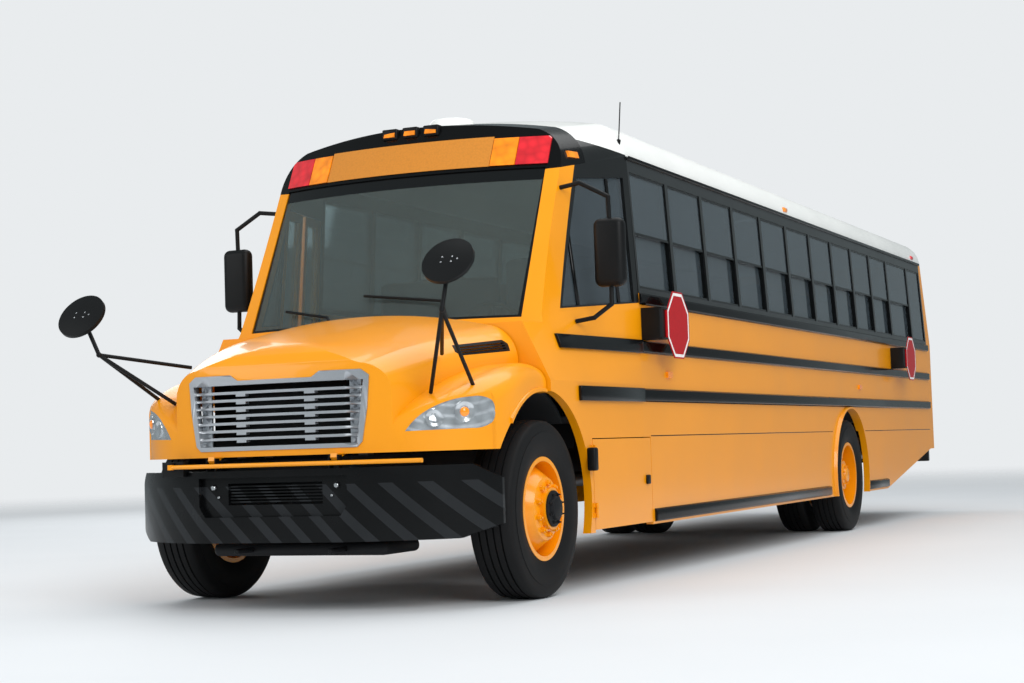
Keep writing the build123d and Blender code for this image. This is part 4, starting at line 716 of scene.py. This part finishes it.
def tyre_section():
    """The section from the inner bead over the tread to the outer bead."""
    tread = []
    for groove in GROOVES:
        tread += [(groove - GROOVE_W / 2, TYRE_R), (groove - GROOVE_W * 0.35, TYRE_R - GROOVE_D),
                  (groove + GROOVE_W * 0.35, TYRE_R - GROOVE_D), (groove + GROOVE_W / 2, TYRE_R)]
    return SIDEWALL + tread + [(-y, r) for y, r in reversed(SIDEWALL)]


def spun_ring(section, centre, steps):
    """Lays a circle's points along a section and spins it about the axle's line at a centre."""
    bpy.ops.object.select_all(action="DESELECT")
    bpy.ops.mesh.primitive_circle_add(vertices=len(section), radius=0.1, location=(0, 0, 0))
    ring = bpy.context.object
    for vertex, (y, r) in zip(ring.data.vertices, section):
        vertex.co = (centre.x, centre.y + y, centre.z + r)
    bpy.ops.object.mode_set(mode="EDIT")
    bpy.ops.mesh.select_all(action="SELECT")
    bpy.ops.mesh.spin(steps=steps, angle=2 * math.pi, center=centre, axis=(0, 1, 0))
    bpy.ops.mesh.select_all(action="SELECT")
    bpy.ops.mesh.remove_doubles(threshold=0.00005)
    bpy.ops.mesh.normals_make_consistent(inside=False)
    bpy.ops.object.mode_set(mode="OBJECT")
    bpy.ops.object.shade_smooth_by_angle(angle=math.radians(32))
    return ring


def joined(pieces):
    """Joins pieces into the first."""
    only(pieces[0])
    for piece in pieces[1:]:
        piece.select_set(True)
    if len(pieces) > 1:
        bpy.ops.object.join()
    return bpy.context.object


# Tyres: (node, body, axle, offsets along the axle)
TYRES = [
    ("tyre_front_left", "wheel_front_left", FRONT_AXLE, [FRONT_WHEEL_Y]),
    ("tyre_front_right", "wheel_front_right", FRONT_AXLE, [-FRONT_WHEEL_Y]),
    ("tyres_rear_left", "wheel_rear_left", REAR_AXLE,
     [REAR_WHEEL_Y, REAR_WHEEL_Y - DUAL_SPACING]),
    ("tyres_rear_right", "wheel_rear_right", REAR_AXLE,
     [-REAR_WHEEL_Y, -REAR_WHEEL_Y + DUAL_SPACING]),
]
for node, body, axle, offsets in TYRES:
    rings = [spun_ring(tyre_section(), axle + Vector((0, y, 0)), TYRE_STEPS) for y in offsets]
    tyre = dress(joined(rings), node + "_tread", tyre_rubber, body)
    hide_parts(node)
print(len(TYRES), "tyre pieces")

# %% [markdown]
# Wheel nuts are hexagons with a stud through them, set on a circle round the hub.
# One nut is modelled by insetting and pulling out the end of a six-sided cylinder, and the ring
# is made of copies of it.
# A hub is turned on a lathe, so its section is spun as a tyre's is.

# %% Nuts and hubs
SIDES = ((1, "left"), (-1, "right"))


def nut(outward, radius, height=0.020):
    """One nut with its stud at the origin, on an axis along Y that points outward by a sign."""
    bpy.ops.object.select_all(action="DESELECT")
    bpy.ops.mesh.primitive_cylinder_add(vertices=6, radius=radius, depth=height,
                                        location=(0, 0, 0),
                                        rotation=(-math.pi / 2 * outward, 0, 0))
    piece = bpy.context.object
    bpy.ops.object.transform_apply(location=False, rotation=True, scale=True)
    for polygon in piece.data.polygons:
        polygon.select = polygon.normal.y * outward > 0.9
    bpy.ops.object.mode_set(mode="EDIT")
    bpy.ops.mesh.select_mode(type="FACE")
    bpy.ops.mesh.inset(thickness=radius * 0.42, depth=0.002)
    bpy.ops.mesh.extrude_region_move(TRANSFORM_OT_translate={"value": (0, 0.010 * outward, 0)})
    bpy.ops.object.mode_set(mode="OBJECT")
    return piece


def copies(pieces, places):
    """Copies of some pieces at each of some places, each with its own mesh; the first ones go."""
    made = []
    for place in places:
        for piece in pieces:
            only(piece)
            bpy.ops.object.duplicate()
            made.append(bpy.context.object)
            made[-1].data.transform(Matrix.Translation(place))
    for piece in pieces:
        bpy.data.objects.remove(piece)
    return made


def ring_of(piece, centre, count, circle):
    """Copies of a piece at equal angles on a circle about an axle's line, joined."""
    angles = [2 * math.pi * (k + 0.5) / count for k in range(count)]
    return joined(copies([piece], [centre + Vector((circle * math.cos(a), 0, circle * math.sin(a)))
                                   for a in angles]))


# A hub cover's section: a flange, a step and a domed cap, as (offset along the axle, radius)
HUB_STEPS = [(0.0, 0.104), (0.010, 0.104), (0.014, 0.098), (0.016, 0.070), (0.034, 0.064),
             (0.040, 0.050), (0.042, 0.0002), (0.0, 0.0002)]
WHEEL_NUTS = 10
HUB_BOLTS = 8
BOLT_CIRCLE = 0.085
BOLT_RISE = 0.0178
# Wheel ends: (name, axle, wheel's y, nuts' seat, nut circle, nut radius, hub's seat, finish, slot)
WHEEL_ENDS = [
    ("front", FRONT_AXLE, FRONT_WHEEL_Y, 0.146, 0.147, 0.017, 0.1722, cast_iron, "steel"),
    ("rear", REAR_AXLE, REAR_WHEEL_Y, -0.140, 0.180, 0.021, 0.0702, yellow_enamel, "paint"),
]
for end, axle, wheel_y, nut_seat, nut_circle, nut_radius, hub_seat, finish, slot in WHEEL_ENDS:
    for side, label in SIDES:
        wheel = "wheel_" + end + "_" + label
        centre = axle + Vector((0, wheel_y * side, 0))
        nuts = ring_of(nut(side, nut_radius), centre + Vector((0, nut_seat * side, 0)),
                       WHEEL_NUTS, nut_circle)
        hub = spun_ring([((hub_seat + a) * side, r) for a, r in HUB_STEPS], centre, 48)
        bolts = ring_of(nut(side, 0.009, height=0.012),
                        centre + Vector((0, (hub_seat + BOLT_RISE) * side, 0)),
                        HUB_BOLTS, BOLT_CIRCLE)
        parts = [hub, bolts]
        if finish is yellow_enamel:
            parts = [nuts, hub, bolts]
        else:
            dress(nuts, "nuts_" + end + "_" + label, yellow_enamel, wheel)
        dress(joined(parts), "hub_" + end + "_" + label, finish, wheel)
print("hubs and", 4 * WHEEL_NUTS, "nuts")

# %% [markdown]
# Bench seats are foam under vinyl: a crowned cushion and a tall back, with rounded edges.
# One bench is shaped from two boxes with bevels and a subdivision, and each row gets copies of it.
# A cloth simulation would add wrinkles, but this vinyl is stretched tight over stiff foam.

# %% Bench seats


def pad(low, high, round_by, crown):
    """A foam pad between two corners: a box cut into a grid, rounded at its edges and crowned."""
    size = Vector(high) - Vector(low)
    bpy.ops.object.select_all(action="DESELECT")
    bpy.ops.mesh.primitive_cube_add(size=1.0, location=(0, 0, 0))
    piece = bpy.context.object
    piece.scale = size
    bpy.ops.object.transform_apply(location=False, rotation=False, scale=True)
    bevel = piece.modifiers.new("round", "BEVEL")
    bevel.width = round_by
    bevel.segments = 3
    bpy.ops.object.modifier_apply(modifier="round")
    bpy.ops.object.mode_set(mode="EDIT")
    bpy.ops.mesh.select_all(action="SELECT")
    bpy.ops.mesh.subdivide(number_cuts=2)
    bpy.ops.object.mode_set(mode="OBJECT")
    for vertex in piece.data.vertices:
        share = [2 * vertex.co[i] / size[i] for i in range(3)]
        for i in range(3):
            if abs(share[i]) > 0.6:
                a, b = [1 - share[j] ** 2 for j in range(3) if j != i]
                vertex.co[i] += math.copysign(crown * a * b, share[i])
    bpy.ops.object.shade_smooth()
    piece.data.transform(Matrix.Translation((Vector(high) + Vector(low)) / 2))
    return piece


FLOOR_TOP = 1.040
SEAT_FIRST_X = 2.560
SEAT_PITCH = 0.740
SEAT_ROWS = 11
BENCH_IN, BENCH_OUT = 0.192, 1.146
DRIVER_X = 3.560
DRIVER_IN, DRIVER_OUT = 0.335, 0.825
# Pads, from the seat's x and the floor: (low x, low z, high x, high z, rounding)
BENCH = [(-0.02, 0.335, 0.43, 0.425, 0.03), (-0.135, 0.345, -0.045, 1.07, 0.035)]
DRIVER = [(-0.02, 0.335, 0.43, 0.43, 0.03), (-0.14, 0.345, -0.04, 1.07, 0.035)]
LEG_XS = (0.06, 0.36)
LEG_INSET = 0.08
LEG_Z = 0.166

rows = [Vector((SEAT_FIRST_X - row * SEAT_PITCH, y, FLOOR_TOP))
        for row in range(SEAT_ROWS) for y in (0.0, -BENCH_IN - BENCH_OUT)]
bench = [pad((x0, BENCH_IN, z0), (x1, BENCH_OUT, z1), rounding, 0.012)
         for x0, z0, x1, z1, rounding in BENCH]
driver = [pad((x0, DRIVER_IN, z0), (x1, DRIVER_OUT, z1), rounding, 0.014)
          for x0, z0, x1, z1, rounding in DRIVER]
pads = copies(bench, rows) + copies(driver, [Vector((DRIVER_X, 0.0, FLOOR_TOP))])
bench_pads = dress(joined(pads), "bench_pads", seat_vinyl, "body")
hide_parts("seats")

bpy.ops.object.select_all(action="DESELECT")
bpy.ops.mesh.primitive_cylinder_add(vertices=8, radius=0.016, depth=0.33, location=(0, 0, 0))
feet = [row + Vector((x, y, LEG_Z)) for row in rows for x in LEG_XS
        for y in (BENCH_IN + LEG_INSET, BENCH_OUT - LEG_INSET)]
legs = copies([bpy.context.object], feet)
dress(joined(legs), "bench_legs", dull_steel, "body")
print(len(rows) + 1, "seats on", len(feet), "legs")

# %% [markdown]
# A mirror's housing is a moulded shell with generous corners, and the CAD housing is a plainer
# block of the same size.
# The block's faces are taken out of the merged copy, and a rounder shell stands in its place.

# %% Mirror arms and shells


def bevelled_box(low, high, round_by=0.004, segments=2):
    """A box between two corners with its edges rounded."""
    size = Vector(high) - Vector(low)
    bpy.ops.object.select_all(action="DESELECT")
    bpy.ops.mesh.primitive_cube_add(size=1.0, location=(0, 0, 0))
    piece = bpy.context.object
    piece.scale = size
    bpy.ops.object.transform_apply(location=False, rotation=False, scale=True)
    piece.data.transform(Matrix.Translation((Vector(high) + Vector(low)) / 2))
    bevel = piece.modifiers.new("round", "BEVEL")
    bevel.width = min(round_by, 0.45 * min(size))
    bevel.segments = segments
    bpy.ops.object.modifier_apply(modifier="round")
    bpy.ops.object.shade_smooth_by_angle(angle=math.radians(50))
    return piece


MIRROR = Vector((4.160, 1.334, 2.037))
MIRROR_ROOM = Vector((0.052, 0.102, 0.212))
SHELL_HALF = Vector((0.050, 0.100, 0.210))
PANE_BACK, PANE_FRONT = Vector((-0.0535, -0.072, -0.175)), Vector((-0.0495, 0.072, 0.175))
arms = bpy.data.objects["side_mirrors_skin"]
only(arms)
for polygon in arms.data.polygons:
    spots = [arms.data.vertices[v].co for v in polygon.vertices]
    away = [Vector((p.x, abs(p.y), p.z)) - MIRROR for p in spots]
    polygon.select = all(abs(a[i]) < MIRROR_ROOM[i] for a in away for i in range(3))
bpy.ops.object.mode_set(mode="EDIT")
bpy.ops.mesh.delete(type="FACE")
bpy.ops.object.mode_set(mode="OBJECT")
for side, label in SIDES:
    centre = Vector((MIRROR.x, MIRROR.y * side, MIRROR.z))
    shell = bevelled_box(centre - SHELL_HALF, centre + SHELL_HALF, 0.045, 5)
    dress(shell, "mirror_shell_" + label, black_plastic, "body")
    pane = bevelled_box(centre + PANE_BACK, centre + PANE_FRONT, 0.001)
    dress(pane, "mirror_pane_" + label, mirror_silver, "body")
print("two mirror shells")

# %% [markdown]
# Small trim gives the sides their scale: seam strips, a hinge cover, a latch, an aerial and bolts.
# Each starts as a box or a bar whose edges are bevelled, because no pressed edge is sharp.

# %% Seams, latches, aerial and bolts


def bar(start, end, radius, vertices=12):
    """A round bar between two points with its ends bevelled."""
    a, b = Vector(start), Vector(end)
    bpy.ops.object.select_all(action="DESELECT")
    bpy.ops.mesh.primitive_cylinder_add(vertices=vertices, radius=radius, depth=(b - a).length,
                                        location=(0, 0, 0))
    piece = bpy.context.object
    bevel = piece.modifiers.new("round", "BEVEL")
    bevel.width = radius * 0.3
    bevel.limit_method = "ANGLE"
    bpy.ops.object.modifier_apply(modifier="round")
    turn_to = (b - a).to_track_quat("Z", "Y").to_matrix().to_4x4()
    piece.data.transform(Matrix.Translation((a + b) / 2) @ turn_to)
    bpy.ops.object.shade_smooth_by_angle(angle=math.radians(40))
    return piece


SIDE_Y = 1.219
SEAM_Z = 0.912
SEAM_HALF = 0.003
SEAM_RISE = 0.0015
SEAM_RUNS = ((-1.545, 3.230), (-5.850, -2.790))
seams = []
for side, label in SIDES:
    y0, y1 = sorted((SIDE_Y * side, (SIDE_Y + SEAM_RISE) * side))
    for x0, x1 in SEAM_RUNS:
        seams.append(bevelled_box((x0, y0, SEAM_Z - SEAM_HALF), (x1, y1, SEAM_Z + SEAM_HALF),
                                  0.0005))
dress(joined(seams), "panel_seams", black_enamel, "body")

cover = [bevelled_box((4.285, 1.205, 0.71), (4.345, 1.262, 0.85), 0.012),
         bevelled_box((4.262, 1.215, 0.745), (4.30, 1.250, 0.815), 0.01)]
dress(joined(cover), "access_hinge_cover", black_plastic, "body")
pull = bevelled_box((3.30, 1.2192, 0.60), (3.36, 1.236, 0.66), 0.008)
dress(pull, "access_latch", black_plastic, "access")

whip = [bar((3.40, 1.13, 2.845), (3.40, 1.15, 3.105), 0.004),
        bar((3.40, 1.120, 2.80), (3.40, 1.132, 2.86), 0.014)]
dress(joined(whip), "aerial", black_plastic, "body")

BOLT_X = 5.944
# Bumper bolts: (y, z, length, radius)
BUMPER_BOLTS = [(-0.392, 0.694, 0.018, 0.019), (0.392, 0.694, 0.018, 0.019),
                (-0.36, 0.64, 0.012, 0.010), (0.36, 0.64, 0.012, 0.010)]
bolts = [bar((BOLT_X, y, z), (BOLT_X + length, y, z), radius, vertices=6)
         for y, z, length, radius in BUMPER_BOLTS]
dress(joined(bolts), "bumper_bolts", bright_steel, "body")
print("seams, latches, aerial and", len(bolts), "bolts")

# %% [markdown]
# A headlamp holds two bowls behind its lens, and an amber bulb.
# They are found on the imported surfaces: a ray from outside meets the skin, and its normal gives
# the turn. Measuring each spot by hand would break as soon as a surface moves.

# %% Headlamp bowls and bulbs


def met(obj, start, direction):
    """Where a ray from a start first meets an object's mesh, with the normal there."""
    found, spot, normal, _ = obj.ray_cast(Vector(start), Vector(direction))
    assert found, obj.name
    return spot, normal


def turned_to(piece, spot, normal):
    """Moves a piece that was modelled along Z so that it stands on a spot along a normal."""
    facing = normal.to_track_quat("Z", "Y").to_matrix().to_4x4()
    piece.data.transform(Matrix.Translation(spot) @ facing)
    return piece


def bowl(radius, depth):
    """A shallow cup along Z: a cylinder whose end is inset and pushed back in."""
    bpy.ops.object.select_all(action="DESELECT")
    bpy.ops.mesh.primitive_cylinder_add(vertices=40, radius=radius, depth=depth,
                                        location=(0, 0, 0))
    piece = bpy.context.object
    for polygon in piece.data.polygons:
        polygon.select = polygon.normal.z > 0.9
    bpy.ops.object.mode_set(mode="EDIT")
    bpy.ops.mesh.inset(thickness=radius * 0.12)
    bpy.ops.mesh.inset(thickness=radius * 0.35, depth=-depth * 0.55)
    bpy.ops.object.mode_set(mode="OBJECT")
    bpy.ops.object.shade_smooth_by_angle(angle=math.radians(30))
    return piece


def dome(radius, flatten):
    """A low dome along Z from a sphere."""
    bpy.ops.object.select_all(action="DESELECT")
    bpy.ops.mesh.primitive_uv_sphere_add(segments=20, ring_count=10, radius=radius,
                                         location=(0, 0, 0))
    piece = bpy.context.object
    piece.data.transform(Matrix.Diagonal((1, 1, flatten, 1)))
    bpy.ops.object.shade_smooth()
    return piece


BOWL_DEPTH = 0.012
AHEAD_X = 7.0
# Bowls in each headlamp: (y, z, radius, whether it holds the bulb)
BOWLS = [(0.890, 1.037, 0.050, False), (1.018, 1.069, 0.060, True)]
lens = bpy.data.objects["headlamps_skin"]
cups = []
bulbs = []
for side, label in SIDES:
    for y, z, radius, lamp in BOWLS:
        spot, normal = met(lens, (AHEAD_X, y * side, z), (-1, 0, 0))
        cups.append(turned_to(bowl(radius, BOWL_DEPTH), spot, normal))
        if lamp:
            bulbs.append(turned_to(dome(radius * 0.45, 0.5), spot + normal * 0.002, normal))
dress(joined(cups), "headlamp_bowls", clear_lens, "hood")
dress(joined(bulbs), "turn_bulbs", amber_lens, "hood")
print(len(BOWLS) * 2, "bowls")

# %% [markdown]
# Behind the grille of a real bus stands a dark screen before the radiator; without it daylight
# would show through. A shield hangs under the bumper on two stays.
# Both are plain pressings, so a bevelled box is enough.

# %% Grille screen and under-bumper shield
screen = bevelled_box((5.690, -0.540, 0.905), (5.698, 0.540, 1.315), 0.003)
dress(screen, "grille_screen", black_plastic, "hood")
STAY_Z = 0.335
shield = [bevelled_box((5.300, -0.560, 0.300), (5.720, 0.560, 0.372), 0.03, 4)]
for y in (-0.30, 0.30):
    shield.append(bar((5.700, y, STAY_Z), (5.880, y, STAY_Z), 0.016))
dress(joined(shield), "under_shield", chassis_paint, "body")
print("screen and shield")

# %% [markdown]
# The round mirrors on the hood are bolted to their stalks through the back plate.
# The screw heads are low domes, set by rays onto the plate's curve.

# %% Mirror screws
HEAD_TILT = math.radians(35)
HEAD_BACK = Vector((math.cos(HEAD_TILT), 0, math.sin(HEAD_TILT)))
HEADS = [Vector((5.960, 1.110, 1.850)), Vector((6.010, -1.215, 1.690))]
# Screws on each plate: (up, across)
SCREW_SPOTS = [(0.012, 0.030), (0.012, -0.030), (-0.022, 0.030), (-0.022, -0.030),
               (-0.005, 0.062)]
plates = bpy.data.objects["crossview_mirrors_skin"]
across = Vector((0, 1, 0))
upward = HEAD_BACK.cross(across)
screws = []
for head in HEADS:
    for u, v in SCREW_SPOTS:
        start = head + upward * u + across * v + HEAD_BACK * 0.2
        spot, normal = met(plates, start, -HEAD_BACK)
        screws.append(turned_to(dome(0.005, 0.6), spot, normal))
dress(joined(screws), "mirror_screws", bright_steel, "hood")
print(len(screws), "screws")

# %% [markdown]
# Lamps on the brow sit in small black housings, and markers stand on the roof's edges.
# A housing is measured from the lamp that it holds, so it fits wherever the lamp is.

# %% Lamp housings and roof markers
LAMP_YS = (-0.148, 0.0, 0.148)
LAMP_HALF = 0.06
LAMP_LOW, LAMP_HIGH = 2.87, 2.95
# How far a housing goes past its lamp's box, at its low and its high corner
PAST_LOW, PAST_HIGH = Vector((-0.04, -0.016, -0.014)), Vector((-0.016, 0.016, 0.012))
housings = []
for y in LAMP_YS:
    spots = [v.co for v in nodes["lamps_amber"].data.vertices
             if abs(v.co.y - y) < LAMP_HALF and LAMP_LOW < v.co.z < LAMP_HIGH]
    low = Vector([min(p[i] for p in spots) for i in range(3)])
    high = Vector([max(p[i] for p in spots) for i in range(3)])
    housings.append(bevelled_box(low + PAST_LOW, high + PAST_HIGH, 0.008))
dress(joined(housings), "roof_lamp_housings", black_plastic, "body")
# Roof markers: (name, x, lens, slot)
MARKERS = [("amber", -0.467, amber_lens, "lamp_amber"), ("red", -5.553, red_lens, "lamp_red")]
MARKER_HALF = 0.055
for label, x, lens_material, slot in MARKERS:
    pair = []
    for side, _ in SIDES:
        y0, y1 = sorted((1.130 * side, 1.172 * side))
        pair.append(bevelled_box((x - MARKER_HALF, y0, 2.775), (x + MARKER_HALF, y1, 2.815),
                                 0.012, 3))
    dress(joined(pair), "roof_markers_" + label, lens_material, "body")
print(len(housings), "roof lamps housed")

# %% [markdown]
# The driver's window slides, so a post divides it, and a second post closes off the fixed quarter
# pane. Rays onto the pane give each post its lean.

# %% Driver's window posts
# Posts: (x, low z, high z)
POSTS = [(4.126, 1.735, 2.190), (3.610, 1.775, 2.575)]
POST_LAP = 0.06
panes = nodes["window_glass"]
posts = []
for x, z0, z1 in POSTS:
    foot, _ = met(panes, (x, 2.0, z0 + 0.03), (0, -1, 0))
    head, _ = met(panes, (x, 2.0, z1 - 0.06), (0, -1, 0))
    lap = (head - foot).normalized() * POST_LAP
    posts.append(bar(foot - lap, head + lap, 0.017, vertices=8))
dress(joined(posts), "driver_window_posts", black_enamel, "body")
print(len(posts), "posts")

# %% [markdown]
# The floor is a plain pale sheet under the wheels; it is stage and not part of the bus.
# It fades out with distance, so that no horizon cuts across the picture.

# %% Floor
FADE_NEAR = 9.0
FADE_FAR = 34.0
bpy.ops.object.select_all(action="DESELECT")
bpy.ops.mesh.primitive_plane_add(size=400, location=(0, 0, 0))
ground = bpy.context.object
ground.name = "studio_floor"
material, tree, place = start_material("pale_floor")
speckle = add_node(tree, "ShaderNodeTexNoise", Vector=place, Scale=1 / 1.5, Detail=3.0)
level = add_node(tree, "ShaderNodeMapRange", Value=speckle.outputs["Fac"], To_Min=0.97,
                 To_Max=1.02)
toned = add_node(tree, "ShaderNodeHueSaturation", Color=to_linear("DADDDF"),
                 Value=level.outputs[0])
sheet = add_node(tree, "ShaderNodeBsdfPrincipled", Base_Color=toned.outputs[0], Roughness=0.7)
away = add_node(tree, "ShaderNodeVectorMath", {"operation": "LENGTH"}, i0=place)
fade = add_node(tree, "ShaderNodeMapRange", {"interpolation_type": "SMOOTHSTEP"},
                Value=away.outputs["Value"], From_Min=FADE_NEAR, From_Max=FADE_FAR)
gone = add_node(tree, "ShaderNodeBsdfTransparent")
end_material(tree, add_node(tree, "ShaderNodeMixShader", i0=fade.outputs[0],
                            i1=sheet.outputs[0], i2=gone.outputs[0]))
ground.data.materials.append(material)
ground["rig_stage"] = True
print("floor placed")

# %% [markdown]
# The box of the visual model is measured over every piece that renders, leaving out the stage, and
# printed.

# %% Sizes and finish
low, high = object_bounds()
print("visual box", [round(v, 3) for v in low], [round(v, 3) for v in high])
